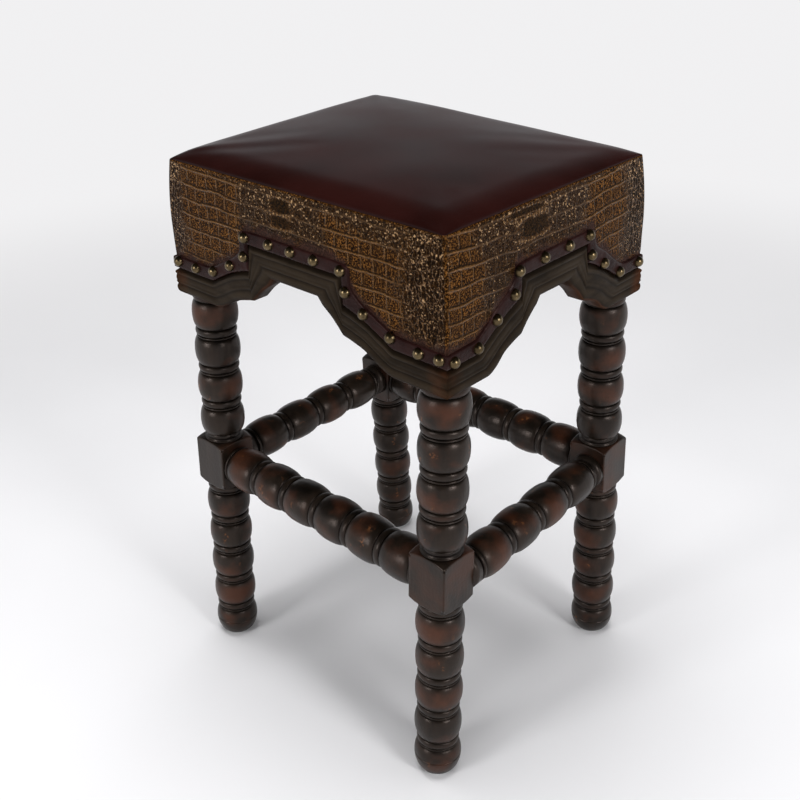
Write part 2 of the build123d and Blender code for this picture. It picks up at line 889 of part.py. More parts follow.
def write_sides():
    """Aprons, skirts, strips and nails, each made for the front and the right side and mirrored."""
    shell = leather_shell()
    down = Vector(0, 0, -1)
    hole_r = screw_r + screw_fit
    deep = screw_len + hole_end_gap
    deck_holes = [tube_along(seat, down, hole_r, deep) for seat in deck_screw_seats()]
    brace_holes = []
    for seat, direction in brace_screws_at():
        hole = tube_along(seat, direction, hole_r, brace_screw_len + hole_end_gap)
        brace_holes += four(hole).values()
    for name in sides:
        holes = nail_holes(name)
        pieces = {
            "apron_": apron(name) - holes - deck_holes - brace_holes,
            "skirt_": skirt(name, shell) - holes,
            "gimp_": gimp(name) - holes,
        }
        for kind, shape in pieces.items():
            write(kind + name, shape)
            write(kind + opposite[name], mirror(shape, flips[name]))
        nails = [domed_nail(place, nail_inward(name)) for place in nail_places(name)]
        write_group("nails_" + name, nails)
        write_group("nails_" + opposite[name], [mirror(nail, flips[name]) for nail in nails])
    write("leather_top", leather_top(shell))


def write_seat():
    write("seat_deck", deck())
    write("seat_foam", foam())
    write("seat_wadding", wadding())
    write("dust_cover", dust_cover())
    screws = [screw(seat, Vector(0, 0, -1), screw_len) for seat in deck_screw_seats()]
    write_group("deck_screws", screws)
    write_group("cover_tacks", [tack(place) for place in tack_places()])


write_frame()
write_sides()
write_seat()
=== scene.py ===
import math

import bmesh
import bpy
import numpy as np
from mathutils import Matrix, Vector


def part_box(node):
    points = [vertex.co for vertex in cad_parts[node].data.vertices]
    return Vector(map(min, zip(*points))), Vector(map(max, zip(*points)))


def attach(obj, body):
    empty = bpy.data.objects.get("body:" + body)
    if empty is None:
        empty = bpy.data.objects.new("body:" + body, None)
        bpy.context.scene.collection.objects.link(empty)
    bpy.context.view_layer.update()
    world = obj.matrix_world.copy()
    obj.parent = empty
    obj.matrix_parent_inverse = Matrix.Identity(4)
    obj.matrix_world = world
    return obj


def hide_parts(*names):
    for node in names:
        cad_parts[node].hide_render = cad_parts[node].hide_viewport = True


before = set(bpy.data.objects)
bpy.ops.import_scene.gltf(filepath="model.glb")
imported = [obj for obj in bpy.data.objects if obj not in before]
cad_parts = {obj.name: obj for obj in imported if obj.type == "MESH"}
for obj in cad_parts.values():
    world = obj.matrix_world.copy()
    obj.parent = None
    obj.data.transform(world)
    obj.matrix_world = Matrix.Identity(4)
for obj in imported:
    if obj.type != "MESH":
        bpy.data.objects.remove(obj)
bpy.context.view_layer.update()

# Sizes in metres, in the frame's own axes: +Z up, +X along the long side, -Y the front.

SHOULDER_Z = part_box("apron_front")[0].z
DECK_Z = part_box("apron_front")[1].z
SEAM_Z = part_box("skirt_front")[1].z
TOP_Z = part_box("leather_top")[1].z

LEG_FOOT = (0.2091, 0.1851)
LEG_TOP = (0.2029, 0.1585)
BOBBIN_R = 0.031
BOBBIN_H = 0.0395
NOTCH_R = 0.0242
RING_R = 0.028
RING_H = 0.0104
FILLET_R = 0.0268
FILLET_H = 0.0036
FOOT_H = 0.04625
FOOT_BELLY_Z = 0.028
FOOT_BASE_R = 0.015
BLOCK_SIDE = 0.0566
BLOCK_H = 0.073
BLOCK_EDGE = 0.0022
POMMEL_DROP = 0.0045
COLLAR_R = 0.024
COLLAR_ROOT_R = 0.021
COLLAR_H = 0.0085
COLLAR_FOOT_R = 0.0265
COLLAR_FOOT_H = 0.0025
LEG_BOBBINS = 4
POST_SIDE = (0.0385, 0.0405)

STRETCHER_Z = 0.3105
LONG_R = 0.0303
LONG_NOTCH_R = 0.0235
LONG_RING_R = 0.0267
LONG_BOBBINS = 6
LONG_RING_W = 0.0105
LONG_END_W = 0.0046
SHORT_R = 0.0283
SHORT_NOTCH_R = 0.0215
SHORT_RING_R = 0.0243
SHORT_BOBBINS = 4
SHORT_RING_W = 0.011
SHORT_BOBBIN_W = 0.052
SHORT_NECK_W = 0.004

# How far the ends of the front and the right stretcher sit off the middle of their blocks
FRONT_DROPS = (0.0015, 0.004)
RIGHT_OUTS = (0.0085, 0.0035)
RIGHT_DROPS = (0.008, 0.0035)

APRON = (0.235, 0.1925)
BOARD = (0.2285, 0.186)
BOARD_W = 0.018
BAND_H = 0.035
ARCH_RISE = 0.066
LOWER_ARCH_RISE = 0.0665

SKIRT_TOP = (0.2256, 0.1856)
SKIRT_LOW = (0.2327, 0.1901)
LEAN_Z = DECK_Z - 0.0245
LEAN_POWER = 1.8
GIMP_W = 0.0018
CROWN_SHOULDER = 0.040
CROWN_SWELL = 0.30
# How high the top's edge rises at each corner, as shares of the crown: left and right, front then back
CORNER_RISE = ((0.62, 0.66), (1.15, 0.40))
# How far the back edge swells between its corners, nearer the left one
BACK_SWELL = 0.7
NAIL_R = 0.0071
NAIL_H = 0.0066
NAIL_LIFT = 0.0085

# Lines of the scalloped band, from the mitred corner to the middle of a side, as shares of the side's
# half length and of the arch's rise
LOWER_SHARES = {
    "long": ((1, 0), (0.668, 0), (0.583, 0.09), (0.480, 0.29), (0.387, 0.39),
             (0.336, 0.43), (0.260, 0.69), (0.194, 0.86), (0.162, 1), (0, 1)),
    "short": ((1, 0), (0.629, 0), (0.550, 0.09), (0.475, 0.28), (0.390, 0.39),
              (0.322, 0.45), (0.250, 0.68), (0.172, 0.87), (0.140, 1), (0, 1)),
}
UPPER_SHARES = {
    "long": ((1, 0), (0.681, 0), (0.600, 0.13), (0.500, 0.31), (0.400, 0.43),
             (0.343, 0.48), (0.343, 0.72), (0.343, 0.92), (0.343, 1), (0, 1)),
    "short": ((1, 0), (0.740, 0), (0.670, 0.12), (0.570, 0.30), (0.440, 0.51),
              (0.335, 0.64), (0.335, 0.80), (0.335, 0.93), (0.335, 1), (0, 1)),
}
GIMP_SHARES = {
    "long": ((1, 0.265), (0.690, 0.27), (0.620, 0.37), (0.540, 0.52), (0.455, 0.68),
             (0.405, 0.86), (0.400, 1), (0.400, 1.15), (0.400, 1.27), (0, 1.27)),
    "short": ((1, 0.265), (0.750, 0.27), (0.700, 0.36), (0.620, 0.52), (0.545, 0.70),
              (0.440, 0.88), (0.410, 1.02), (0.400, 1.15), (0.400, 1.27), (0, 1.27)),
}
NAIL_SHARES = {
    "long": ((-0.962, 0.04), (-0.805, 0.03), (-0.650, 0.10), (-0.497, 0.35), (-0.374, 0.63),
             (-0.354, 1.01), (-0.162, 1.03), (0, 1.03), (0.167, 1.02), (0.348, 0.99),
             (0.375, 0.63), (0.491, 0.35), (0.662, 0.10), (0.838, 0.01), (0.962, 0.03)),
    "short": ((-0.952, -0.02), (-0.746, 0.01), (-0.578, 0.34), (-0.416, 0.63), (-0.376, 1.01),
              (-0.135, 1.04), (0.114, 1.04), (0.332, 1.05), (0.371, 0.65), (0.524, 0.36),
              (0.722, 0.02), (0.952, 0.02)),
}

# Section of the carved band: shares of its height from the top, and depths in mm behind its outer face
BAND_SECTION = (
    (0, 5.6), (0.02, 4.7), (0.11, 0.9), (0.14, 0.15), (0.17, 0), (0.20, 0.2), (0.225, 0.8), (0.265, 1.1),
    (0.30, 0.6), (0.36, 0.3), (0.42, 0.2), (0.455, 0.5), (0.49, 0.55), (0.52, 0.2), (0.56, 0.25),
    (0.595, 0.9), (0.63, 1.5), (0.665, 0.8), (0.72, 0.15), (0.79, 0), (0.86, 0.3), (0.92, 1.0), (0.96, 2.0),
    (0.99, 3.2), (1, 4.2),
)
MM = 0.001
TINY = 1e-9


# Noise and small helpers

# Whole numbers that scramble a place into a value that looks random but is always the same
HASH_FACTORS = (374761393, 668265263, 2147483647)
HASH_TURN = 1274126177
HASH_MASK = 0x7FFFFFFF
HASH_SHIFT = 13
SEED_STEP = 7919
VALUE_MASK = 0xFFFFF


def lattice(points, seed):
    """A fixed value from 0 to 1 for every whole-number place."""
    mixed = np.zeros(points.shape[:-1], np.int64) + seed * SEED_STEP
    for axis in range(points.shape[-1]):
        mixed = mixed ^ (points[..., axis].astype(np.int64) * HASH_FACTORS[axis])
        mixed = (mixed * HASH_TURN) & HASH_MASK
        mixed = mixed ^ (mixed >> HASH_SHIFT)
    return (mixed & VALUE_MASK) / VALUE_MASK


def noise(points, cell, seed):
    """Smooth noise from -1 to 1 over points in any number of axes, with the given cell size."""
    scaled = points / cell
    base = np.floor(scaled)
    part = scaled - base
    part = part * part * (3 - 2 * part)
    total = np.zeros(points.shape[:-1])
    axes = points.shape[-1]
    for corner in range(2 ** axes):
        bits = np.array([(corner >> axis) & 1 for axis in range(axes)])
        weight = np.prod(np.where(bits == 1, part, 1 - part), axis=-1)
        total += weight * lattice(base + bits, seed)
    return total * 2 - 1


def ripple(points, depth_and_cell, seed):
    """Smooth noise of a given depth and cell size."""
    depth, cell = depth_and_cell
    return depth * noise(points, cell, seed)


def smooth(low, high, value):
    """0 below low, 1 above high, with an even bend between them."""
    share = np.clip((value - low) / (high - low), 0, 1)
    return share * share * (3 - 2 * share)


def add_object(name, mesh, material, values=None):
    """Smooth object of a mesh, with named numbers at its points."""
    mesh.polygons.foreach_set("use_smooth", [True] * len(mesh.polygons))
    for key, numbers in (values or {}).items():
        layer = mesh.attributes.new(key, "FLOAT", "POINT")
        layer.data.foreach_set("value", np.asarray(numbers, np.float32).ravel())
    mesh.materials.append(material)
    piece = bpy.data.objects.new(name, mesh)
    bpy.context.scene.collection.objects.link(piece)
    return piece


def make_object(name, points, faces, material, values=None):
    """Smooth object from points and faces."""
    mesh = bpy.data.meshes.new(name)
    mesh.from_pydata(np.asarray(points).tolist(), [], np.asarray(faces).tolist())
    return add_object(name, mesh, material, values)


def grid_faces(rows, columns, wrap=False, keep=None):
    """Four-sided faces over a grid, whose last column can join the first."""
    across = columns if wrap else columns - 1
    row, column = np.meshgrid(np.arange(rows - 1), np.arange(across), indexing="ij")
    after = (column + 1) % columns
    faces = np.stack([row * columns + column, row * columns + after,
                      (row + 1) * columns + after, (row + 1) * columns + column], -1)
    return faces.reshape(-1, 4) if keep is None else faces[keep]


def close(piece):
    """Fill the open ends of a piece and turn all its faces outwards."""
    shape = bmesh.new()
    shape.from_mesh(piece.data)
    bmesh.ops.holes_fill(shape, edges=[edge for edge in shape.edges if edge.is_boundary], sides=0)
    bmesh.ops.recalc_face_normals(shape, faces=shape.faces)
    shape.to_mesh(piece.data)
    shape.free()
    return piece


def join(pieces, name):
    """One object from several."""
    bpy.ops.object.select_all(action="DESELECT")
    for piece in pieces:
        piece.select_set(True)
    bpy.context.view_layer.objects.active = pieces[0]
    bpy.ops.object.join()
    pieces[0].name = name
    pieces[0].data.name = name
    return pieces[0]


def finish_piece(piece, slot, *nodes):
    """Put a piece on the one body and hide the CAD nodes that it stands for; the slot is not used."""
    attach(piece, "root")
    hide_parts(*nodes)
    return piece


# Materials

class Nodes:
    """A material's node tree, with one call for each node that it gets."""

    def __init__(self, name):
        self.material = bpy.data.materials.new(name)
        self.material.use_nodes = True
        self.tree = self.material.node_tree
        self.shader = self.tree.nodes["Principled BSDF"]
        self.place = self.add("ShaderNodeTexCoord").outputs["Object"]

    def add(self, kind, **inputs):
        """New node; an underscore in an input's name stands for a space."""
        node = self.tree.nodes.new(kind)
        for key, value in inputs.items():
            self.give(node.inputs[key.replace("_", " ")], value)
        return node

    def give(self, socket, value):
        """Link a socket to another one, or set it to a value."""
        if isinstance(value, bpy.types.NodeSocket):
            self.tree.links.new(value, socket)
        else:
            socket.default_value = value

    def set(self, **inputs):
        """Values or links for the surface shader."""
        for key, value in inputs.items():
            self.give(self.shader.inputs[key.replace("_", " ")], value)

    def number(self, key):
        """Number that a mesh holds at its points."""
        node = self.add("ShaderNodeAttribute")
        node.attribute_name = key
        return node.outputs["Fac"]

    def noise(self, scale, detail, stretch=(1, 1, 1), roughness=0.5):
        """Noise over the frame, squeezed along each axis by stretch."""
        spread = self.add("ShaderNodeMapping", Vector=self.place, Scale=stretch)
        node = self.add("ShaderNodeTexNoise", Vector=spread.outputs[0], Scale=scale, Detail=detail,
                        Roughness=roughness)
        return node.outputs["Fac"]

    def warped(self, cell, depth):
        """Place in the frame, shifted by soft noise."""
        cloud = self.add("ShaderNodeTexNoise", Vector=self.place, Scale=1 / cell, Detail=1.0)
        scaled = self.tree.nodes.new("ShaderNodeVectorMath")
        scaled.operation = "MULTIPLY_ADD"
        self.give(scaled.inputs[0], cloud.outputs["Color"])
        self.give(scaled.inputs[1], (depth, depth, depth))
        self.give(scaled.inputs[2], self.place)
        return scaled.outputs[0]

    def scales(self, place, size, stretch, width):
        """Lines between scattered small scales: 1 on a line, 0 inside a scale."""
        spread = self.add("ShaderNodeMapping", Vector=place, Scale=stretch)
        node = self.add("ShaderNodeTexVoronoi", Vector=spread.outputs[0], Scale=1 / size)
        node.feature = "DISTANCE_TO_EDGE"
        return self.ramp(node.outputs["Distance"], (0, 1), (width * 0.35, 0.9), (width, 0))

    def glint_spots(self, place, size, stretch, width):
        """Spots in the middle of the same small scales, where glints are painted: 1 on a spot, 0 near a
        scale's edge.
        """
        spread = self.add("ShaderNodeMapping", Vector=place, Scale=stretch)
        away = self.add("ShaderNodeTexVoronoi", Vector=spread.outputs[0], Scale=1 / size)
        return self.ramp(away.outputs["Distance"], (0, 1), (width * 0.5, 0.8), (width, 0))

    def ramp(self, value, *stops):
        """Colours or greys along a value; each stop is a place and a colour."""
        node = self.add("ShaderNodeValToRGB", Fac=value)
        line = node.color_ramp
        while len(line.elements) < len(stops):
            line.elements.new(1)
        for element, (place, colour) in zip(line.elements, stops):
            element.position = place
            shade = colour if isinstance(colour, tuple) else (colour,) * 3
            element.color = (*shade, 1)
        return node.outputs["Color"]

    def mix(self, share, first, second):
        """Colour that goes over from the first to the second."""
        node = self.tree.nodes.new("ShaderNodeMix")
        node.data_type = "RGBA"
        self.give(node.inputs["Factor"], share)
        colours = [socket for socket in node.inputs if socket.type == "RGBA"]
        for socket, value in zip(colours, (first, second)):
            self.give(socket, (*value, 1) if isinstance(value, tuple) else value)
        return [socket for socket in node.outputs if socket.type == "RGBA"][0]

    def math(self, operation, *values):
        """Result of an operation on sockets or numbers."""
        node = self.tree.nodes.new("ShaderNodeMath")
        node.operation = operation
        for socket, value in zip(node.inputs, values):
            self.give(socket, value)
        return node.outputs[0]

    def bump(self, height, depth, strength):
        """Fine relief for the surface shader."""
        node = self.add("ShaderNodeBump", Height=height, Distance=depth, Strength=strength)
        self.set(Normal=node.outputs[0])


def turned_wood():
    """Dark stained and waxed wood, redder where it is worn, with painted shade that turns it near black in
    its grooves.
    """
    m = Nodes("turned_wood")
    grain = m.noise(38, 6, (1, 1, 0.12), 0.62)
    cloud = m.noise(17, 4)
    speck = m.noise(240, 2)
    dark = m.ramp(grain, (0.36, (0.0034, 0.0027, 0.0020)), (0.64, (0.0148, 0.0098, 0.0066)))
    red = m.ramp(cloud, (0.47, 0), (0.64, 0.9))
    colour = m.mix(m.math("MULTIPLY", m.number("crest"), red), dark, (0.055, 0.0178, 0.0080))
    # Painted shade: the grooves between the beads are darkened to near black
    colour = m.mix(m.math("MULTIPLY", m.number("groove_shade"), 0.75), colour, (0.0025, 0.0018, 0.0015))
    nick = m.math("MULTIPLY", m.number("nick"), m.ramp(speck, (0.50, 0), (0.60, 0.85)))
    m.set(Base_Color=m.mix(nick, colour, (0.15, 0.055, 0.018)))
    m.set(Roughness=m.ramp(cloud, (0.3, 0.30), (0.7, 0.42)))
    m.set(Specular_Tint=(1.0, 0.82, 0.74, 1), Specular_IOR_Level=0.28)
    m.bump(m.math("ADD", grain, m.math("MULTIPLY", speck, 0.4)), 0.0010, 0.5)
    return m.material


def carved_wood():
    """Dark olive-brown finish, brushed lighter on its ridges."""
    m = Nodes("carved_wood")
    streak = m.noise(55, 6, (0.25, 0.25, 1), 0.65)
    cloud = m.noise(20, 4)
    base = m.ramp(streak, (0.3, (0.0060, 0.0037, 0.0020)), (0.7, (0.020, 0.0126, 0.0070)))
    ridge = m.math("MULTIPLY", m.number("crest"), m.ramp(streak, (0.36, 0.15), (0.64, 1)))
    colour = m.mix(ridge, base, (0.027, 0.0185, 0.0110))
    # Painted shade: the deep grooves of the carved band are darkened
    colour = m.mix(m.math("MULTIPLY", m.number("groove_shade"), 0.6), colour, (0.0045, 0.0027, 0.0016))
    red = m.math("MULTIPLY", m.number("rub"), m.ramp(cloud, (0.4, 0.1), (0.6, 1)))
    m.set(Base_Color=m.mix(red, colour, (0.075, 0.026, 0.011)))
    m.set(Roughness=m.ramp(cloud, (0.3, 0.45), (0.7, 0.62)))
    m.set(Specular_Tint=(1.0, 0.84, 0.68, 1), Specular_IOR_Level=0.07)
    m.bump(streak, 0.0007, 0.5)
    return m.material


# Small scales between the tiles and slim upright ones by the corners: size, and squeeze along X, Y and Z
SMALL_SCALE = 0.0042
SMALL_STRETCH = (0.85, 0.85, 1.2)
SLIM_SCALE = 0.0068
SLIM_STRETCH = (1.3, 1.3, 0.6)
# Width of the lines between scales and of the painted glints on them, as shares of a scale
LINE_SHARE = 0.10
GLINT_SHARE = 0.44
SCALE_WARP = 0.005
SCALE_WARP_CELL = 0.006


def embossed_leather():
    """Embossed hide: mottled gold-brown tiles, tan ridges, hollows darkened with painted shade, and small
    scales whose middles carry painted glints.
    """
    m = Nodes("embossed_leather")
    grain = m.noise(520, 3, (1, 1, 1), 0.6)
    cloud = m.noise(24, 3)
    fine, tall, plain = m.number("fine"), m.number("tall"), m.number("plain")
    bent = m.warped(SCALE_WARP_CELL, SCALE_WARP)
    patch = m.noise(430, 2)
    small = m.math("MULTIPLY", m.scales(bent, SMALL_SCALE, SMALL_STRETCH, LINE_SHARE), fine)
    slim = m.math("MULTIPLY", m.scales(bent, SLIM_SCALE, SLIM_STRETCH, LINE_SHARE), tall)
    net = m.math("MAXIMUM", m.math("MULTIPLY", small, 0.25), slim)
    # Painted glints: bright gold spots on the middles of the small scales, thicker by the seam and among
    # the slim scales
    tip = m.glint_spots(bent, SMALL_SCALE, SMALL_STRETCH, GLINT_SHARE)
    spot = m.math("MULTIPLY", tip, m.math("MAXIMUM", fine, tall))
    thick = m.math("MULTIPLY_ADD", m.number("high"), 0.10, m.math("MULTIPLY_ADD", tall, 0.03, patch))
    painted_glint = m.math("MULTIPLY", spot, m.ramp(thick, (0.56, 0), (0.65, 1)))
    lit = m.math("MULTIPLY", net, m.ramp(patch, (0.44, 0.1), (0.58, 0.9)))
    tile = m.ramp(grain, (0.45, (0.0035, 0.0014, 0.0005)), (0.52, (0.047, 0.0182, 0.0039)),
                  (0.61, (0.190, 0.078, 0.0175)))
    tile = m.mix(m.ramp(cloud, (0.42, 0), (0.72, 0.5)), tile, (0.026, 0.0107, 0.0036))
    tile = m.mix(m.math("MULTIPLY", fine, 0.80), tile, (0.0060, 0.0025, 0.0009))
    tile = m.mix(m.math("MULTIPLY", tall, 0.85), tile, (0.0040, 0.0018, 0.0008))
    # Painted shade: the hollows beside the raised borders are darkened
    deep = m.mix(m.math("MULTIPLY", m.number("hollow_and_shade"), 0.9), tile, (0.003, 0.0016, 0.0008))
    dark = m.ramp(grain, (0.42, (0.004, 0.0022, 0.001)), (0.6, (0.019, 0.009, 0.003)))
    deep = m.mix(m.number("plate"), deep, dark)
    line = m.mix(m.math("MULTIPLY", m.number("ridge"), 0.8), deep, (0.195, 0.098, 0.036))
    line = m.mix(lit, line, (0.135, 0.062, 0.020))
    # Painted highlight: the colour of the glints
    line = m.mix(painted_glint, line, (0.540, 0.320, 0.150))
    mauve = m.ramp(grain, (0.4, (0.015, 0.0066, 0.0052)), (0.6, (0.042, 0.0185, 0.0135)))
    m.set(Base_Color=m.mix(plain, line, mauve))
    m.set(Roughness=m.ramp(grain, (0.38, 0.12), (0.66, 0.24)))
    raised = m.math("MAXIMUM", m.math("MAXIMUM", painted_glint, lit), m.number("ridge"))
    m.set(Specular_IOR_Level=m.ramp(raised, (0, 0.03), (1, 0.50)))
    m.set(Specular_Tint=(1.0, 0.72, 0.44, 1))
    m.bump(m.math("MULTIPLY_ADD", raised, 1.2, m.math("MULTIPLY", grain, 0.35)), 0.0010, 0.8)
    return m.material


def seat_leather():
    """Smooth dark oxblood leather with a soft sheen."""
    m = Nodes("seat_leather")
    grain = m.noise(900, 3)
    cloud = m.noise(9, 4)
    m.set(Base_Color=m.ramp(cloud, (0.35, (0.0100, 0.0023, 0.0018)), (0.68, (0.0185, 0.0043, 0.0035))))
    m.set(Roughness=m.ramp(cloud, (0.3, 0.30), (0.7, 0.37)), Specular_IOR_Level=0.06)
    m.bump(grain, 0.0002, 0.35)
    return m.material


def strip_leather():
    """Plain maroon-brown leather, slightly wrinkled."""
    m = Nodes("strip_leather")
    wrinkle = m.noise(160, 3, (1, 1, 2))
    cloud = m.noise(30, 4)
    m.set(Base_Color=m.ramp(cloud, (0.35, (0.0100, 0.0032, 0.0028)), (0.7, (0.022, 0.0074, 0.0064))))
    m.set(Roughness=m.ramp(cloud, (0.3, 0.22), (0.7, 0.34)))
    m.set(Specular_Tint=(1.0, 0.75, 0.70, 1), Specular_IOR_Level=0.08)
    m.bump(wrinkle, 0.0008, 0.5)
    return m.material


def antique_brass():
    """Antiqued brass, darker in its pits."""
    m = Nodes("antique_brass")
    cloud = m.noise(160, 4)
    m.set(Base_Color=m.ramp(cloud, (0.35, (0.066, 0.047, 0.024)), (0.7, (0.155, 0.114, 0.060))))
    m.set(Roughness=m.ramp(cloud, (0.3, 0.34), (0.7, 0.24)), Metallic=1.0)
    return m.material


def plain_material(name, dark, light, scale, stretch=(1, 1, 1), roughness=0.6, metallic=0.0):
    """Material of a hidden piece: two shades mixed by noise."""
    m = Nodes(name)
    cloud = m.noise(scale, 5, stretch)
    m.set(Base_Color=m.ramp(cloud, (0.35, dark), (0.68, light)), Roughness=roughness, Metallic=metallic)
    m.bump(cloud, 0.0004, 0.4)
    return m.material


# Turned legs and stretchers

BEAD_STEPS = 22
BEAD_POWER = 2.1
TURN_STEPS = 72
SPOTS_PER_METRE = 30
TURNING_WAVE = (0.00035, 0.8)
NICK_CELL = 0.3
NICK_RANGE = (0.66, 0.86)
# Shares of the full radius over which a turning becomes a crest, and below which it becomes a groove that
# gets painted shade
CREST_SHARES = (0.86, 1.0)
GROOVE_SHADE_SHARES = (0.78, 0.87)

BOX_CUTS = 13
BOX_CREST = 0.6
# Points of the unit cube above this height lie on its ends
CUBE_END = 0.49
POMMEL_POWER = 1.6
SHARP_ANGLE = math.radians(50)
EDGE_SEGMENTS = 4
EDGE_ROUNDNESS = 0.6


def bead_profile(root, r, low, high):
    """Side view of one rounded bead of a turning, from low to high."""
    share = -np.cos(np.linspace(0, math.pi, BEAD_STEPS))
    swell = (1 - np.abs(share) ** BEAD_POWER) ** (1 / BEAD_POWER)
    places = (low + high) / 2 + share * (high - low) / 2
    return np.stack([places, root + (r - root) * swell], -1)


def profile_of(parts, base):
    """Side view of a row of beads, each given as its root radius, radius and height."""
    views = []
    level = base
    for root, r, height in parts:
        if r > root:
            views.append(bead_profile(root, r, level, level + height))
        else:
            views.append(np.array([(level, root), (level + height, root)]))
        level += height
    return np.concatenate(views)


def row_of(count, bead, divider):
    """Beads with the same divider between each two of them."""
    row = []
    for index in range(count):
        row += (divider if index else []) + [bead]
    return row


def lathe(name, profile, material, top_r, seed):
    """Solid turned about Z, with the small unevenness of hand turning."""
    angle = np.linspace(0, 2 * math.pi, TURN_STEPS, endpoint=False)
    z = profile[:, 0][:, None] + 0 * angle
    r = profile[:, 1][:, None] + 0 * angle
    spots = np.stack([np.cos(angle) + 0 * z, np.sin(angle) + 0 * z, z * SPOTS_PER_METRE], -1)
    r = r + ripple(spots, TURNING_WAVE, seed)
    points = np.stack([r * np.cos(angle), r * np.sin(angle), z], -1)
    crest = smooth(*CREST_SHARES, r / top_r)
    nick = smooth(*NICK_RANGE, noise(spots, NICK_CELL, seed + 3)) * crest
    # Where painted shade darkens the grooves of the turning
    groove_shade = 1 - smooth(*GROOVE_SHADE_SHARES, r / top_r)
    values = {"crest": crest, "nick": nick, "groove_shade": groove_shade}
    faces = grid_faces(len(profile), TURN_STEPS, wrap=True)
    return close(make_object(name, points.reshape(-1, 3), faces, material, values))


def box_piece(name, low, high, ease, material, drop=0.0):
    """Box with eased edges, whose corners can be turned down at both ends."""
    shape = bmesh.new()
    bmesh.ops.create_cube(shape, size=1)
    size = Vector(high) - Vector(low)
    middle = (Vector(high) + Vector(low)) / 2
    if drop:
        bmesh.ops.subdivide_edges(shape, edges=shape.edges[:], cuts=BOX_CUTS, use_grid_fill=True)
    for point in shape.verts:
        # 0 inside the circle that fits an end of the box, 1 at its corners
        off = min(1, max(0, 2 * math.hypot(point.co.x, point.co.y) - 1) / (math.sqrt(2) - 1))
        if abs(point.co.z) > CUBE_END:
            point.co.z -= math.copysign(drop / size.z * off ** POMMEL_POWER, point.co.z)
    placing = Matrix.Translation(middle) @ Matrix.Diagonal((*size, 1))
    bmesh.ops.transform(shape, matrix=placing, verts=shape.verts)
    sharp = [edge for edge in shape.edges if edge.calc_face_angle(0) > SHARP_ANGLE]
    bmesh.ops.bevel(shape, geom=sharp, offset=ease, segments=EDGE_SEGMENTS, profile=EDGE_ROUNDNESS,
                    affect="EDGES")
    mesh = bpy.data.meshes.new(name)
    shape.to_mesh(mesh)
    shape.free()
    none = np.zeros(len(mesh.vertices))
    return add_object(name, mesh, material, {"crest": none + BOX_CREST, "nick": none, "groove_shade": none})


# How far a turning reaches into what it enters
TUCK = 0.0015
POST_SINK = 0.0002
POST_EASE = 0.0008
BLOCK_LOW = FOOT_H + LEG_BOBBINS * (BOBBIN_H + RING_H + FILLET_H) + RING_H + FILLET_H


def leg_axis(sx, sy):
    """Placing of a leg: Z along its centre line, origin on the floor."""
    foot = Vector((sx * LEG_FOOT[0], sy * LEG_FOOT[1], 0))
    top = Vector((sx * LEG_TOP[0], sy * LEG_TOP[1], SHOULDER_Z))
    along = (top - foot).normalized()
    across = (Vector((1, 0, 0)) - along * along.x).normalized()
    matrix = Matrix((across, along.cross(across), along)).transposed().to_4x4()
    matrix.translation = foot
    return matrix


def foot_profile():
    """Side view of the foot, from its flat to the first notch."""
    turn = np.linspace(0, math.pi / 2, BEAD_STEPS)
    low_r = FOOT_BASE_R + (BOBBIN_R - FOOT_BASE_R) * np.sin(turn)
    low = np.stack([FOOT_BELLY_Z * (1 - np.cos(turn)), low_r], -1)
    high = np.stack([FOOT_BELLY_Z + (FOOT_H - FOOT_BELLY_Z) * np.sin(turn),
                     NOTCH_R + (BOBBIN_R - NOTCH_R) * np.cos(turn)], -1)
    return np.concatenate([low, high])


def leg(corner, sx, sy, material, seed):
    """One leg: turned foot and lower part, block, turned upper part and the post inside the apron."""
    ring = [(NOTCH_R, FILLET_R, FILLET_H), (NOTCH_R, RING_R, RING_H)]
    bobbin = (NOTCH_R, BOBBIN_R, BOBBIN_H)
    lower = ring + row_of(LEG_BOBBINS, bobbin, ring) + ring
    low_view = np.concatenate([foot_profile(), profile_of(lower, FOOT_H)])
    block_high = BLOCK_LOW + BLOCK_H
    collar = [(COLLAR_FOOT_R, COLLAR_FOOT_R, COLLAR_FOOT_H), (COLLAR_ROOT_R, COLLAR_R, COLLAR_H)]
    upper = collar + row_of(LEG_BOBBINS, bobbin, ring)
    high_view = profile_of(upper, block_high)
    last = bead_profile(NOTCH_R, RING_R, high_view[-1, 0], SHOULDER_Z + TUCK)
    high_view = np.concatenate([high_view, last])
    pieces = [
        lathe("turning_low", low_view, material, BOBBIN_R, seed),
        lathe("turning_high", high_view, material, BOBBIN_R, seed + 11),
        box_piece("block", (-BLOCK_SIDE / 2, -BLOCK_SIDE / 2, BLOCK_LOW),
                  (BLOCK_SIDE / 2, BLOCK_SIDE / 2, block_high), BLOCK_EDGE, material, POMMEL_DROP),
    ]
    for piece in pieces:
        piece.data.transform(leg_axis(sx, sy))
    inner = (BOARD[0] - BOARD_W, BOARD[1] - BOARD_W)
    xs = sorted((sx * inner[0], sx * (inner[0] - POST_SIDE[0])))
    ys = sorted((sy * inner[1], sy * (inner[1] - POST_SIDE[1])))
    low, high = (xs[0], ys[0], SHOULDER_Z - POST_SINK), (xs[1], ys[1], DECK_Z)
    pieces.append(box_piece("post", low, high, POST_EASE, material))
    piece = join(pieces, "turned_leg_" + corner)
    for point in piece.data.vertices:
        # The unevenness of the foot doesn't go below the floor
        point.co.z = max(point.co.z, 0)
    return finish_piece(piece, "turned_wood", "leg_" + corner)


def leg_point(z):
    """Centre line of the back right leg at height z."""
    share = z / SHOULDER_Z
    return [foot + (top - foot) * share for foot, top in zip(LEG_FOOT, LEG_TOP)]


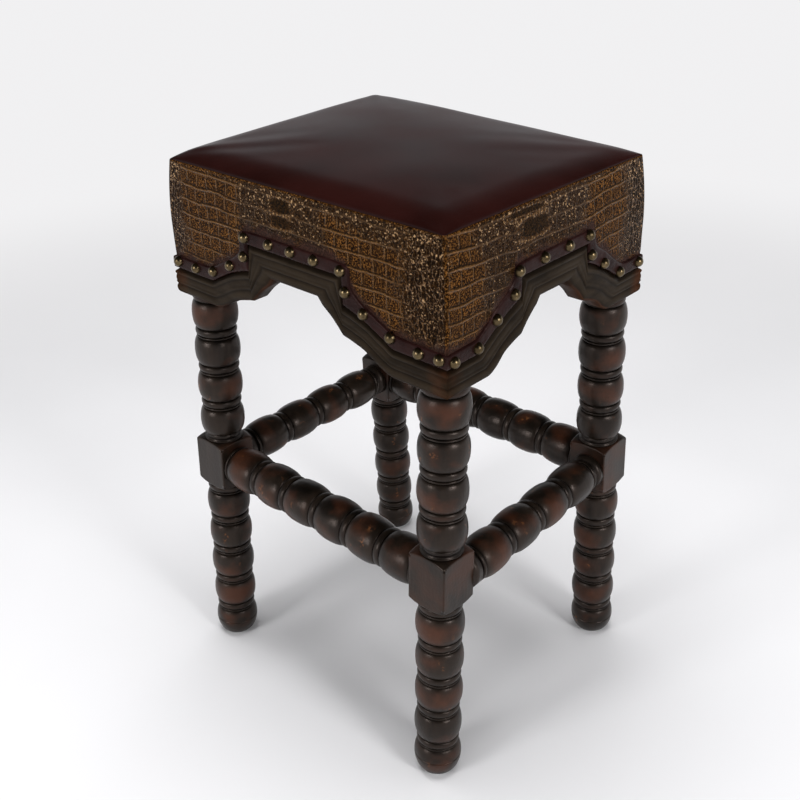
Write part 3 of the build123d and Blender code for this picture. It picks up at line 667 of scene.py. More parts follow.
def stretcher(side, parts, start, end, material, seed):
    """One turned rail from the face of a block to the face of another."""
    length = sum(part[2] for part in parts)
    top_r = max(part[1] for part in parts)
    piece = lathe("turned_stretcher_" + side, profile_of(parts, -length / 2), material, top_r, seed)
    turn = (Vector(end) - Vector(start)).to_track_quat("Z", "X").to_matrix().to_4x4()
    piece.data.transform(Matrix.Translation((Vector(start) + Vector(end)) / 2) @ turn)
    return finish_piece(piece, "turned_wood", "stretcher_" + side)


def long_parts(length):
    """Beads of a front or back stretcher."""
    bobbin_w = (length - 2 * LONG_END_W - (LONG_BOBBINS - 1) * LONG_RING_W) / LONG_BOBBINS
    end = [(LONG_NOTCH_R, LONG_RING_R, LONG_END_W)]
    stub = [(LONG_NOTCH_R, LONG_NOTCH_R, TUCK)]
    divider = [(LONG_NOTCH_R, LONG_RING_R, LONG_RING_W)]
    return stub + end + row_of(LONG_BOBBINS, (LONG_NOTCH_R, LONG_R, bobbin_w), divider) + end + stub


def short_parts(length):
    """Beads of a left or right stretcher."""
    row_w = SHORT_BOBBINS * SHORT_BOBBIN_W + (SHORT_BOBBINS - 1) * SHORT_RING_W
    collar = [(SHORT_RING_R, SHORT_RING_R, length / 2 - row_w / 2 - SHORT_NECK_W - SHORT_RING_W / 2 + TUCK)]
    neck = [(SHORT_NOTCH_R, SHORT_NOTCH_R, SHORT_NECK_W)]
    half_ring = [(SHORT_NOTCH_R, SHORT_RING_R, SHORT_RING_W / 2)]
    divider = [(SHORT_NOTCH_R, SHORT_RING_R, SHORT_RING_W)]
    row = row_of(SHORT_BOBBINS, (SHORT_NOTCH_R, SHORT_R, SHORT_BOBBIN_W), divider)
    return collar + neck + half_ring + row + half_ring + neck + collar


def stretchers(material):
    """The four turned rails; the front and the right one sit a little askew."""
    x, y = leg_point(STRETCHER_Z)
    reach_x, reach_y = x - BLOCK_SIDE / 2, y - BLOCK_SIDE / 2
    for side, sign, drops in (("front", -1, FRONT_DROPS), ("back", 1, (0, 0))):
        start = (-reach_x, sign * y, STRETCHER_Z - drops[0])
        end = (reach_x, sign * y, STRETCHER_Z - drops[1])
        stretcher(side, long_parts(2 * reach_x), start, end, material, 40 + sign)
    for side, sign, outs, drops in (("left", -1, (0, 0), (0, 0)), ("right", 1, RIGHT_OUTS, RIGHT_DROPS)):
        start = (sign * (x + outs[0]), -reach_y, STRETCHER_Z - drops[0])
        end = (sign * (x + outs[1]), reach_y, STRETCHER_Z - drops[1])
        stretcher(side, short_parts(2 * reach_y), start, end, material, 50 + sign)


# Lines of the scalloped sides

LINE_STEPS = 12


def bend(points, start=None):
    """Smooth curve through points, with a level start where one is given."""
    points = np.asarray(points, float)
    slopes = np.gradient(points, axis=0)
    slopes[0] = points[1] - points[0]
    slopes[-1] = points[-1] - points[-2]
    if start is not None:
        slopes[0] = np.asarray(start) * np.linalg.norm(slopes[0])
    curve = []
    for index in range(len(points) - 1):
        t = np.linspace(0, 1, LINE_STEPS, endpoint=False)[:, None]
        a, b = points[index], points[index + 1]
        u, v = slopes[index], slopes[index + 1]
        curve.append((2 * t**3 - 3 * t**2 + 1) * a + (t**3 - 2 * t**2 + t) * u
                     + (3 * t**2 - 2 * t**3) * b + (t**3 - t**2) * v)
    return np.concatenate(curve)


def whole_line(shares, half, base, rise):
    """A line of a side from its left corner to its right one, as places along and up the side.

    Each half has a flat by the corner, a scallop, a slope, a short rise and the flat of the arch.
    """
    points = np.array([(x * half, base + z * rise) for x, z in shares])
    parts = [bend(points[0:2]), bend(points[1:6], (-1, 0))]
    parts += [bend(points[5:8]), bend(points[7:9]), bend(points[8:10])]
    line = np.concatenate(parts)
    mirrored = line * (-1, 1)
    middle = np.array([[0, points[-1, 1]]])
    return np.concatenate([mirrored, middle, line[::-1]])


class Side:
    """A side of the seat: its lines, and how places along, up and out of it lie in the frame."""

    def __init__(self, name, kind, turn):
        axis = 0 if kind == "long" else 1
        self.name = name
        self.kind = kind
        self.turn = turn
        self.seed = turn
        self.nail_way = 1 if turn < 2 else -1
        self.half = APRON[axis]
        self.apron = APRON[1 - axis]
        self.board = BOARD[1 - axis]
        self.skirt_half = (SKIRT_LOW[axis], SKIRT_TOP[axis])
        self.skirt_out = (SKIRT_LOW[1 - axis], SKIRT_TOP[1 - axis])
        base = SHOULDER_Z + BAND_H
        self.upper = whole_line(UPPER_SHARES[kind], self.half, base, ARCH_RISE)
        self.lower = whole_line(LOWER_SHARES[kind], self.half, SHOULDER_Z, LOWER_ARCH_RISE)
        self.gimp = whole_line(GIMP_SHARES[kind], self.half, base, ARCH_RISE)

    def put(self, along, out, up):
        """Points of the frame; the front's along is +X and its out is -Y."""
        angle = self.turn * math.pi / 2
        x = along * math.cos(angle) + out * math.sin(angle)
        y = along * math.sin(angle) - out * math.cos(angle)
        return np.stack([x, y, up + 0 * x], -1)


SIDES = [Side("front", "long", 0), Side("right", "short", 1),
         Side("back", "long", 2), Side("left", "short", 3)]


# How near to its mitre a point is drawn onto it, and the gap between the two rails there
MITRE_SLACK = 0.001
MITRE_GAP = 0.00012
CARVING_WAVE = (0.00012, 0.012)
# Depths behind the band's face at which a crest ends and over which a groove with painted shade begins
CREST_DEPTH = 0.0011
GROOVE_SHADE_DEPTHS = (0.0006, 0.0014)
# Distances from the mitre over which the rubbed finish fades, and how rubbed the lower edge is
RUB_WIDTHS = (0.001, 0.006)
LOW_RUB = 0.5
# Columns of the rail's grid that form the carved band, and those round its lower edge
BAND_COLUMNS = slice(2, -3)
EDGE_COLUMNS = slice(-6, -2)


def apron(side, material):
    """Carved rail: its band follows the scallops, its board goes up behind the leather."""
    section = np.array(BAND_SECTION)
    steps = len(side.upper)
    share = section[:, 0][None, :]
    along = side.upper[:, 0][:, None] * (1 - share) + side.lower[:, 0][:, None] * share
    up = side.upper[:, 1][:, None] * (1 - share) + side.lower[:, 1][:, None] * share
    depth = section[:, 1][None, :] * MM + 0 * along
    board_out = side.apron - side.board
    inner = board_out + BOARD_W
    low_x, low_z = side.lower[:, 0][:, None], side.lower[:, 1][:, None]
    high_x = side.upper[:, 0][:, None]
    deck = np.full((steps, 1), DECK_Z)
    along = np.hstack([high_x, high_x, along, low_x, low_x, low_x])
    up = np.hstack([deck, side.upper[:, 1][:, None], up, low_z, (low_z + deck) / 2, deck])
    back = np.full((steps, 1), inner)
    front = np.full((steps, 1), board_out)
    depth = np.hstack([front, front, depth, back, back, back])
    at_end = np.abs(along) > side.half - inner - MITRE_SLACK
    along = np.where(at_end, np.sign(along) * (side.half - depth - MITRE_GAP), along)
    wave = ripple(np.stack([along, up], -1), CARVING_WAVE, 60 + side.seed)
    depth = depth + wave * (depth < board_out)
    columns = along.shape[1]
    points = side.put(along, side.apron - depth, up)
    crest = np.zeros_like(along)
    crest[:, BAND_COLUMNS] = 1 - smooth(0.0, CREST_DEPTH, section[:, 1] * MM)[None, :]
    # Where painted shade darkens the band's grooves
    groove_shade = np.zeros_like(along)
    groove_shade[:, BAND_COLUMNS] = smooth(*GROOVE_SHADE_DEPTHS, section[:, 1] * MM)[None, :]
    rub = 1 - smooth(*RUB_WIDTHS, side.half - np.abs(along))
    rub[:, EDGE_COLUMNS] = np.maximum(rub[:, EDGE_COLUMNS], LOW_RUB)
    faces = grid_faces(steps, columns, wrap=True)
    values = {"crest": crest, "groove_shade": groove_shade, "rub": rub}
    piece = make_object("carved_" + side.name, points.reshape(-1, 3), faces, material, values)
    return finish_piece(close(piece), "carved_wood", "apron_" + side.name)


# Embossed leather sides

SKIRT_STEP = 0.00085
ROW_START = 0.009
ROW_H = 0.0187
TILE_W = 0.0188
BORDER_W = 0.0009
BORDER_CELL = 0.014
# A border's height: its mean and how far it varies
BORDER_HEIGHT = (0.75, 0.35)
BAR_W = 0.0008
# A bar's height: its least and what chance adds to it
BAR_HEIGHT = (0.2, 0.5)
# Hollows beside the borders of the rows and of the bars, which the material also darkens with painted
# shade: how far off the border, and width
ROW_DIP = (0.0020, 0.0011)
BAR_DIP = (0.0019, 0.0010)
BAR_DIP_SHARE = 0.85
# Shares of a row's height over which the bar between two tiles comes up and fades out
BAR_START = (0.03, 0.18)
BAR_END = (0.66, 0.96)
BAR_END_SPREAD = 0.35
# How far chance moves each row's tiles along it and how far their bars bend, as shares of a tile's width
ROW_SHIFTS = (0.10, 0.35)
BAR_BEND = 0.10
ROW_KEY = 5.0
# Unevenness of the pattern: depth and cell size of each noise
ROW_WAVE = (0.0016, 0.034)
ROW_RIPPLE = (0.0006, 0.008)
COLUMN_WAVE = (0.0014, 0.016)
ZONE_WAVE = (0.013, 0.026)
ZONE_RIPPLE = (0.004, 0.007)
SEAM_WAVE = (0.006, 0.012)
GRAIN_CELL = 0.0024

# Rows of tiles and tall cells along a side, in metres from its middle
TILE_ZONES = {"long": ((-0.203, -0.088), (0.056, 0.166)), "short": ((-0.188, -0.138), (0.062, 0.143))}
TALL_ZONES = {"long": ((-0.25, -0.207), (0.172, 0.25)), "short": ((0.150, 0.21),)}
# How much the rows drop towards the ends of a side, and how softly each pattern begins
TILE_BOW = {"long": 0.05, "short": 0.25}
TILE_FADE = 0.010
TALL_FADE = 0.012
# How deep the small scales reach under the seam at a side's right end, and where along it they get there
SEAM_BAND = {"long": 0.030, "short": 0.004}
BAND_RISE = (-0.06, 0.18)
BAND_FADE = 0.006
# Drop below the seam over which the painted glints get fewer
GLINT_BAND = (0.005, 0.055)
# How much of the tiles' relief is left among the small scales
FINE_RELIEF = 0.35
# Dark plates: place along the side, drop below the seam, half width and half height
PLATES = {
    "long": ((-0.017, 0.0190, 0.018, 0.0088), (-0.017, 0.0375, 0.018, 0.0075)),
    "short": ((-0.041, 0.028, 0.027, 0.0115), (-0.052, 0.0085, 0.036, 0.0036)),
}
# A plate's outline: how square it is, how dark, where its edge fades, and where its rim of beads lies
PLATE_POWER = 4
PLATE_SHADE = 0.9
PLATE_EDGE = (0.70, 1.08)
PLATE_WAVE = (0.08, 0.006)
RIM_PLACE = 1.1
RIM_W = 0.11
RIM_ENDS = (0.55, 0.9)
BEAD_STEP = 0.0055
BEAD_HEIGHT = (0.55, 0.45)


def between(value, low, high, soft):
    """1 from low to high, fading to 0 over a soft edge on both sides."""
    return smooth(low - soft, low + soft, value) * (1 - smooth(high - soft, high + soft, value))


def bump_at(distance, width):
    """1 on a line, falling to 0 at about twice the width from it."""
    return np.exp(-(distance / width) ** 2)


def tiles(places, seed, bow):
    """Raised borders and the hollows beside them over rows of oblong belly tiles; the material paints shade
    into the hollows.
    """
    along, drop = places[..., 0], SEAM_Z - places[..., 1]
    wander = ripple(places, ROW_WAVE, seed) + ripple(places, ROW_RIPPLE, seed + 1)
    line = (drop - ROW_START + wander + bow) / ROW_H
    level = (line - np.round(line)) * ROW_H
    number = np.floor(line)
    part = line - number
    row = np.stack([number, np.full_like(line, ROW_KEY)], -1)
    lean = ROW_SHIFTS[0] * (lattice(row, seed + 4) - 0.5) + ROW_SHIFTS[1] * (lattice(row, seed) - 0.5)
    lean = lean + BAR_BEND * (part - 0.5) ** 2
    step = (along + ripple(places, COLUMN_WAVE, seed + 2)) / TILE_W + lean
    column = np.round(step)
    upright = (step - column) * TILE_W
    uneven = lattice(np.stack([number, column], -1), seed + 9)
    short = smooth(*BAR_START, part) * (1 - smooth(*BAR_END, part + BAR_END_SPREAD * (uneven - 0.5)))
    fade = BORDER_HEIGHT[0] + BORDER_HEIGHT[1] * noise(places, BORDER_CELL, seed + 5)
    bar = bump_at(upright, BAR_W) * short * (BAR_HEIGHT[0] + BAR_HEIGHT[1] * uneven)
    beside = BAR_DIP_SHARE * bump_at(upright - BAR_DIP[0], BAR_DIP[1]) * short
    ridge = np.maximum(bump_at(level, BORDER_W) * fade, bar)
    hollow_and_shade = np.maximum(bump_at(level + ROW_DIP[0], ROW_DIP[1]), beside)
    return ridge, hollow_and_shade


def plate(along, drop, middle, low, half_w, half_h):
    """Dark smooth plate of the hide, whose upper and lower rims are beaded: its inside and its rims."""
    dx = np.abs(along - middle) / half_w
    dz = np.abs(drop - low) / half_h
    far = (dx ** PLATE_POWER + dz ** PLATE_POWER) ** (1 / PLATE_POWER)
    far = far + ripple(np.stack([along, drop], -1), PLATE_WAVE, 300)
    beads = BEAD_HEIGHT[0] + BEAD_HEIGHT[1] * np.cos((along - middle) / BEAD_STEP * 2 * math.pi)
    rim = bump_at(far - RIM_PLACE, RIM_W) * beads * smooth(*RIM_ENDS, dz)
    return 1 - smooth(*PLATE_EDGE, far), rim


def hide(side, along, up):
    """Relief of the embossed hide and where each of its patterns lies, at places along and up a side."""
    places = np.stack([along, up], -1)
    seed = 100 + 20 * side.seed
    edge = along + ripple(places, ZONE_WAVE, seed) + ripple(places, ZONE_RIPPLE, seed + 8)
    ridge, hollow_and_shade = tiles(places, seed + 1, TILE_BOW[side.kind] * np.abs(along) ** 2)
    rows = sum(between(edge, low, high, TILE_FADE) for low, high in TILE_ZONES[side.kind])
    tall = sum(between(edge, low, high, TALL_FADE) for low, high in TALL_ZONES[side.kind])
    deep = SEAM_BAND[side.kind] * smooth(*BAND_RISE, along)
    below = SEAM_Z - up - deep + ripple(places, SEAM_WAVE, seed + 11)
    rows = rows * smooth(-BAND_FADE, BAND_FADE, below)
    fine = np.clip(1 - rows - tall, 0, 1)
    ridge = ridge * (rows + FINE_RELIEF * fine)
    hollow_and_shade = hollow_and_shade * rows
    dark = np.zeros_like(along)
    for middle, low, half_w, half_h in PLATES[side.kind]:
        inside, rim = plate(along, SEAM_Z - up, middle, low, half_w, half_h)
        ridge = np.maximum(ridge * (1 - inside), rim)
        fine = fine * (1 - inside)
        dark = np.maximum(dark, PLATE_SHADE * inside)
    grain = noise(places, GRAIN_CELL, seed + 6)
    # Where the painted glints are thickest: close under the seam
    high = 1 - smooth(*GLINT_BAND, SEAM_Z - up)
    return {"ridge": ridge, "hollow_and_shade": hollow_and_shade, "plate": dark, "fine": fine, "tall": tall,
            "high": high, "grain": grain}


def reach(side, up):
    """Half length and distance out of the leather at a height."""
    lean = 1 - np.clip((up - LEAN_Z) / (SEAM_Z - LEAN_Z), 0, 1) ** LEAN_POWER
    half = side.skirt_half[1] + (side.skirt_half[0] - side.skirt_half[1]) * lean
    out = side.skirt_out[1] + (side.skirt_out[0] - side.skirt_out[1]) * lean
    return half, out


def line_height(line, along):
    """Height of a side's line at places along it; at its steps the higher end counts."""
    order = np.argsort(line[:, 0], kind="stable")
    return np.interp(along, line[order, 0], line[order, 1])


SEAM_ROUND = 0.0028
SEAM_STEEPNESS = 0.98
RIDGE_H = 0.0009
HOLLOW_DEPTH = 0.0004
GRAIN_H = 0.00014
RELIEF_EDGE = 0.004
# Heights over the strip's line at which the leather comes free of it, and how deep it is pressed below
PRESS_RANGE = (-0.001, 0.010)
PRESS_DEPTH = 0.0004
# Small folds over the strip, and the broad unevenness of the padding
PUCKER_DEPTH = 0.0005
PUCKER_CELL = 0.011
PUCKER_STRETCH = 0.35
PUCKER_RISE = 0.004
PUCKER_REACH = 0.03
SAG_WAVE = (0.0008, 0.075)
SAG_EDGE = 0.03
# Bare rim of the leather by the strip: how far it reaches, and how ragged its edge is
PLAIN_RANGE = (0.001, 0.013)
PLAIN_WAVE = 0.004
SKIRT_LAP = 0.001


def skirt(side, material):
    """Embossed leather side over the padding, tucked in along its seams."""
    base = SHOULDER_Z + BAND_H
    rows = int((SEAM_Z - base) / SKIRT_STEP)
    columns = int(2 * side.skirt_half[0] / SKIRT_STEP)
    share = np.linspace(-1, 1, columns)[None, :]
    up = np.linspace(base, SEAM_Z, rows)[:, None] + 0 * share
    half, out = reach(side, up)
    along = share * half
    pattern = hide(side, along, up)
    above = up - line_height(side.gimp, along)
    free = smooth(*PRESS_RANGE, above)
    edge = np.minimum(half - np.abs(along), SEAM_Z - up)
    tuck = 1 - np.clip(edge / SEAM_ROUND, 0, 1)
    out = out - SEAM_ROUND * (1 - np.sqrt(1 - tuck ** 2 * SEAM_STEEPNESS))
    shown = free * smooth(0.0, RELIEF_EDGE, edge)
    relief = RIDGE_H * pattern["ridge"] - HOLLOW_DEPTH * pattern["hollow_and_shade"] + GRAIN_H * pattern.pop("grain")
    out = out + shown * relief - PRESS_DEPTH * (1 - free)
    pucker = noise(np.stack([along, up * PUCKER_STRETCH], -1), PUCKER_CELL, 90 + side.seed)
    near = (1 - smooth(0.0, PUCKER_REACH, above)) * smooth(0.0, PUCKER_RISE, above)
    out = out + PUCKER_DEPTH * pucker * near
    sag = ripple(np.stack([along, up], -1), SAG_WAVE, 95 + side.seed)
    out = out + sag * smooth(0, SAG_EDGE, edge)
    middle = above[:-1, :-1] + (line_height(side.gimp, along) - line_height(side.upper, along))[:-1, :-1]
    points = side.put(along, out, up)
    values = {key: number * shown for key, number in pattern.items()}
    values["plain"] = 1 - smooth(*PLAIN_RANGE, above + PLAIN_WAVE * pucker)
    faces = grid_faces(rows, columns, keep=middle > SKIRT_LAP)
    piece = make_object("hide_" + side.name, points.reshape(-1, 3), faces, material, values)
    trim = bmesh.new()
    trim.from_mesh(piece.data)
    bmesh.ops.delete(trim, geom=[point for point in trim.verts if not point.link_faces], context="VERTS")
    trim.to_mesh(piece.data)
    trim.free()
    return finish_piece(piece, "embossed_leather", "skirt_" + side.name)


# Leather strips and nails

# The strip: how it laps over the wood, lies on the leather, swells and wrinkles
GIMP_ROUNDING = 30
GIMP_STEPS = 15
GIMP_LAP = 0.0003
GIMP_SINK = 0.0006
GIMP_SWELL = 0.0008
GIMP_EDGE_POWER = 7
GIMP_WRINKLE = (0.00025, 0.006)
GIMP_WAVE = (0.0003, 0.02)
NAIL_RINGS = 12
NAIL_TURNS = 32
NAIL_GAP = 0.0003
# Rolled rim under a nail's dome: how far each ring lies outside the dome's radius, and its height
NAIL_RIM = ((0.0001, -0.0004), (-0.0004, -0.0006))


def rounded(line):
    """A line with its corners rounded off and its ends kept."""
    soft = line.copy()
    for number in range(GIMP_ROUNDING):
        soft[1:-1] = (soft[:-2] + 2 * soft[1:-1] + soft[2:]) / 4
    return soft


def gimp(side, material):
    """Strip of plain leather along the wood, with soft edges and small wrinkles."""
    share = np.linspace(0, 1, GIMP_STEPS)
    outer = rounded(side.gimp)
    along = outer[:, 0][:, None] * (1 - share) + side.upper[:, 0][:, None] * share
    up = outer[:, 1][:, None] * (1 - share) + (side.upper[:, 1][:, None] + GIMP_LAP) * share
    round_off = (1 - np.abs(2 * share - 1) ** GIMP_EDGE_POWER)[None, :] ** 0.5
    base = side.skirt_out[0] - GIMP_SINK
    places = np.stack([along, up], -1)
    wrinkle = ripple(places, GIMP_WRINKLE, 70 + side.seed)
    wave = ripple(places, GIMP_WAVE, 75 + side.seed)
    out = base + (GIMP_W + GIMP_SWELL + wrinkle + wave) * round_off
    limit = side.skirt_half[0] + (out - side.skirt_out[0])
    at_end = np.abs(along) > limit
    along = np.where(at_end, np.sign(along) * limit, along)
    points = side.put(along, out, up)
    faces = grid_faces(len(side.gimp), len(share))
    piece = make_object("strip_" + side.name, points.reshape(-1, 3), faces, material)
    return finish_piece(piece, "strip_leather", "gimp_" + side.name)


def nails(side, material):
    """Domed nails of one side, set on the strip."""
    ball = (NAIL_R ** 2 + NAIL_H ** 2) / (2 * NAIL_H)
    tilt = np.linspace(0, math.asin(NAIL_R / ball), NAIL_RINGS)
    turn = np.linspace(0, 2 * math.pi, NAIL_TURNS, endpoint=False)
    dome_r = np.append(ball * np.sin(tilt), [NAIL_R + wider for wider, level in NAIL_RIM])
    dome_h = np.append(ball * np.cos(tilt) - (ball - NAIL_H), [level for wider, level in NAIL_RIM])
    points, faces = [], []
    for x, z in NAIL_SHARES[side.kind]:
        along = side.nail_way * x * side.skirt_half[0] + dome_r[:, None] * np.cos(turn)
        up = SHOULDER_Z + BAND_H + NAIL_LIFT + z * ARCH_RISE + dome_r[:, None] * np.sin(turn)
        out = side.skirt_out[0] + GIMP_W + NAIL_GAP + dome_h[:, None] + 0 * turn
        faces.append(grid_faces(len(dome_r), len(turn), wrap=True) + len(points) * out.size)
        points.append(side.put(along, out, up).reshape(-1, 3))
    piece = make_object("domes_" + side.name, np.concatenate(points), np.concatenate(faces), material)
    return finish_piece(close(piece), "antique_brass", "nails_" + side.name)


# Seat top

TOP_STEP = 0.004
# Powers that set how the rolled edge and the crown bend
SHOULDER_POWERS = (2.4, 0.62)
DOME_POWER = 2.6
TOP_SINK = 0.0004
SINK_RANGE = 0.03
# The grid's lines lie evenly by this share and closer to the edges by the rest
EVEN_SHARE = 0.55
EASED_SHARE = 0.45
UNDER_SHARES = (0.985, 0.982)
UNDER_DROP = 0.003

# The leather swells as a cloth under pressure. A share of its way is kept, up to a cap in metres, so that
# the crown and the rolled edge stay as they are.
CLOTH = {"quality": 6, "use_pressure": True, "uniform_pressure_force": 2.5, "vertex_group_mass": "held",
         "tension_stiffness": 40, "compression_stiffness": 20, "bending_stiffness": 8}
TOP_FRAMES = 20
TOP_SHARE = 0.12
TOP_CAP = 0.002

# Unevenness of the top, and the pulls that fan out from each corner
TOP_WAVE = (0.0006, 0.09)
TOP_WAVE_EDGE = 0.03
PULL_DEPTH = 0.0003
PULL_COUNT = 9
PULL_TURNS = (1.5, 0.7)
PULL_REACH = 0.07
PULL_START = (0.008, 0.03)


def crown_height(x, y):
    """Height of the stuffed top over the seam, from how far in from the edges a place is."""
    rise = TOP_Z - SEAM_Z
    across = (1 + x / SKIRT_TOP[0]) / 2
    deep = (1 + y / SKIRT_TOP[1]) / 2
    front, back = [left + (right - left) * across for left, right in CORNER_RISE]
    swell = BACK_SWELL * across * (1 - across) ** 2
    edge = front + (back + swell - front) * deep
    shoulder, dome = 1.0, 1.0
    for place, half in ((x, SKIRT_TOP[0]), (y, SKIRT_TOP[1])):
        inward = np.clip((half - np.abs(place)) / CROWN_SHOULDER, 0, 1)
        shoulder = shoulder * (1 - (1 - inward) ** SHOULDER_POWERS[0]) ** SHOULDER_POWERS[1]
        dome = dome * (1 - (np.abs(place) / half) ** DOME_POWER)
    return rise * (edge * shoulder + CROWN_SWELL * dome)


def inflate(piece, held):
    """Let the leather swell over its padding, with its seams held, and keep the result."""
    group = piece.vertex_groups.new(name=CLOTH["vertex_group_mass"])
    group.add([int(index) for index in held], 1.0, "REPLACE")
    before = np.array([point.co for point in piece.data.vertices])
    bpy.context.view_layer.objects.active = piece
    cloth = piece.modifiers.new("cloth", "CLOTH")
    for key, value in CLOTH.items():
        setattr(cloth.settings, key, value)
    cloth.settings.effector_weights.gravity = 0
    cloth.collision_settings.use_collision = False
    for number in range(1, TOP_FRAMES + 1):
        bpy.context.scene.frame_set(number)
    shaped = piece.evaluated_get(bpy.context.evaluated_depsgraph_get())
    after = np.array([point.co for point in shaped.data.vertices])
    piece.modifiers.remove(cloth)
    bpy.context.scene.frame_set(1)
    move = TOP_SHARE * (after - before)
    size = np.linalg.norm(move, axis=1, keepdims=True)
    after = before + move * np.minimum(1, TOP_CAP / np.maximum(size, TINY))
    piece.data.vertices.foreach_set("co", after.astype(np.float32).ravel())
    piece.data.update()


def eased(count):
    """Places from -1 to 1 that lie closer together towards both ends."""
    even = np.linspace(-1, 1, count)
    return even * EVEN_SHARE + np.sin(even * math.pi / 2) * EASED_SHARE


def seat_top(material):
    """Crowned leather top, a closed form with its seam turned in all round."""
    columns = int(2 * SKIRT_TOP[0] / TOP_STEP) + 1
    rows = int(2 * SKIRT_TOP[1] / TOP_STEP) + 1
    x = eased(columns)[None, :] * SKIRT_TOP[0] + np.zeros((rows, 1))
    y = eased(rows)[:, None] * SKIRT_TOP[1] + np.zeros((1, columns))
    crown = crown_height(x, y)
    upper = np.stack([x, y, SEAM_Z + crown - TOP_SINK * smooth(0, SINK_RANGE, crown)], -1)
    under = np.stack([x * UNDER_SHARES[0], y * UNDER_SHARES[1], np.full_like(x, SEAM_Z - UNDER_DROP)], -1)
    points = np.concatenate([upper.reshape(-1, 3), under.reshape(-1, 3)])
    count = rows * columns
    top_faces = grid_faces(rows, columns)
    under_faces = top_faces[:, ::-1] + count
    ring = [*range(columns), *(row * columns + columns - 1 for row in range(1, rows)),
            *(count - 2 - step for step in range(columns - 1)),
            *(row * columns for row in range(rows - 2, 0, -1))]
    rim = [[ring[i], ring[(i + 1) % len(ring)], ring[(i + 1) % len(ring)] + count, ring[i] + count]
           for i in range(len(ring))]
    faces = np.concatenate([top_faces, under_faces, np.array(rim)])
    piece = close(make_object("seat_cushion", points, faces, material))
    inflate(piece, [*ring, *range(count, 2 * count)])
    crease(piece)
    rounded = piece.modifiers.new("rounded", "SUBSURF")
    rounded.levels = 1
    rounded.render_levels = 1
    finish_piece(piece, "seat_leather", "leather_top", "seat_foam", "seat_wadding")


def crease(piece):
    """Soft diagonal pulls from the corners and a little unevenness over the top."""
    points = np.array([point.co for point in piece.data.vertices])
    x, y = points[:, 0], points[:, 1]
    inside = smooth(0.0, TOP_WAVE_EDGE, np.minimum(SKIRT_TOP[0] - np.abs(x), SKIRT_TOP[1] - np.abs(y)))
    top = points[:, 2] > SEAM_Z
    low = ripple(np.stack([x, y], -1), TOP_WAVE, 7)
    from_corner = np.hypot(SKIRT_TOP[0] - np.abs(x), SKIRT_TOP[1] - np.abs(y))
    angle = np.arctan2(SKIRT_TOP[1] - np.abs(y), SKIRT_TOP[0] - np.abs(x))
    turned = PULL_TURNS[0] * np.sign(x) + PULL_TURNS[1] * np.sign(y)
    pull = PULL_DEPTH * np.cos(angle * PULL_COUNT + turned)
    pull = pull * bump_at(from_corner, PULL_REACH) * smooth(*PULL_START, from_corner)
    points[:, 2] += top * inside * (low + pull)
    piece.data.vertices.foreach_set("co", points.astype(np.float32).ravel())
    piece.data.update()


# Dust cover

COVER_RINGS = 24
COVER_EDGE_STEPS = 16
COVER_SAG = 0.0025
COVER_SAG_POWER = 1.5
COVER_GAP = 0.0002
SAME_PLACE = 1e-5


def dust_cover(material):
    """Thin cloth tacked under the deck, hanging a little in its middle."""
    low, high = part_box("dust_cover")
    outline = outline_of("dust_cover")
    share = np.linspace(0, 1, COVER_RINGS)[:, None, None]
    points = outline[None, :, :] * share
    sag = COVER_SAG * (1 - share[..., 0] ** 2) ** COVER_SAG_POWER + np.zeros(points.shape[:2])
    points = np.concatenate([points, (low.z + COVER_GAP - sag)[..., None]], -1)
    faces = grid_faces(COVER_RINGS, len(outline), wrap=True)
    piece = make_object("cover_sheet", points.reshape(-1, 3), faces, material)
    finish_piece(piece, "black_cloth", "dust_cover")


def outline_of(node):
    """Corners of a flat eight-sided node with points along its edges."""
    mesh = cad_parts[node].data
    spots = np.array([point.co[:2] for point in mesh.vertices])
    low, high = spots.min(0), spots.max(0)
    cut = spots[np.isclose(spots[:, 0], high[0], atol=SAME_PLACE)][:, 1].max()
    x = spots[np.isclose(spots[:, 1], high[1], atol=SAME_PLACE)][:, 0].max()
    corners = [(high[0], -cut), (high[0], cut), (x, high[1]), (-x, high[1]),
               (low[0], cut), (low[0], -cut), (-x, low[1]), (x, low[1])]
    line = []
    for a, b in zip(corners, corners[1:] + corners[:1]):
        for share in np.linspace(0, 1, COVER_EDGE_STEPS, endpoint=False):
            line.append(np.array(a) * (1 - share) + np.array(b) * share)
    return np.array(line)


# Object

wood = turned_wood()
carved = carved_wood()
hide_material = embossed_leather()
strip = strip_leather()
brass = antique_brass()

for number, (corner, sx, sy) in enumerate((("front_left", -1, -1), ("front_right", 1, -1),
                                           ("back_left", -1, 1), ("back_right", 1, 1))):
    leg(corner, sx, sy, wood, 10 * number)
stretchers(wood)
for side in SIDES:
    apron(side, carved)
    skirt(side, hide_material)
    gimp(side, strip)
    nails(side, brass)
seat_top(seat_leather())
dust_cover(plain_material("black_cloth", (0.008, 0.008, 0.009), (0.016, 0.016, 0.018), 900, roughness=0.9))

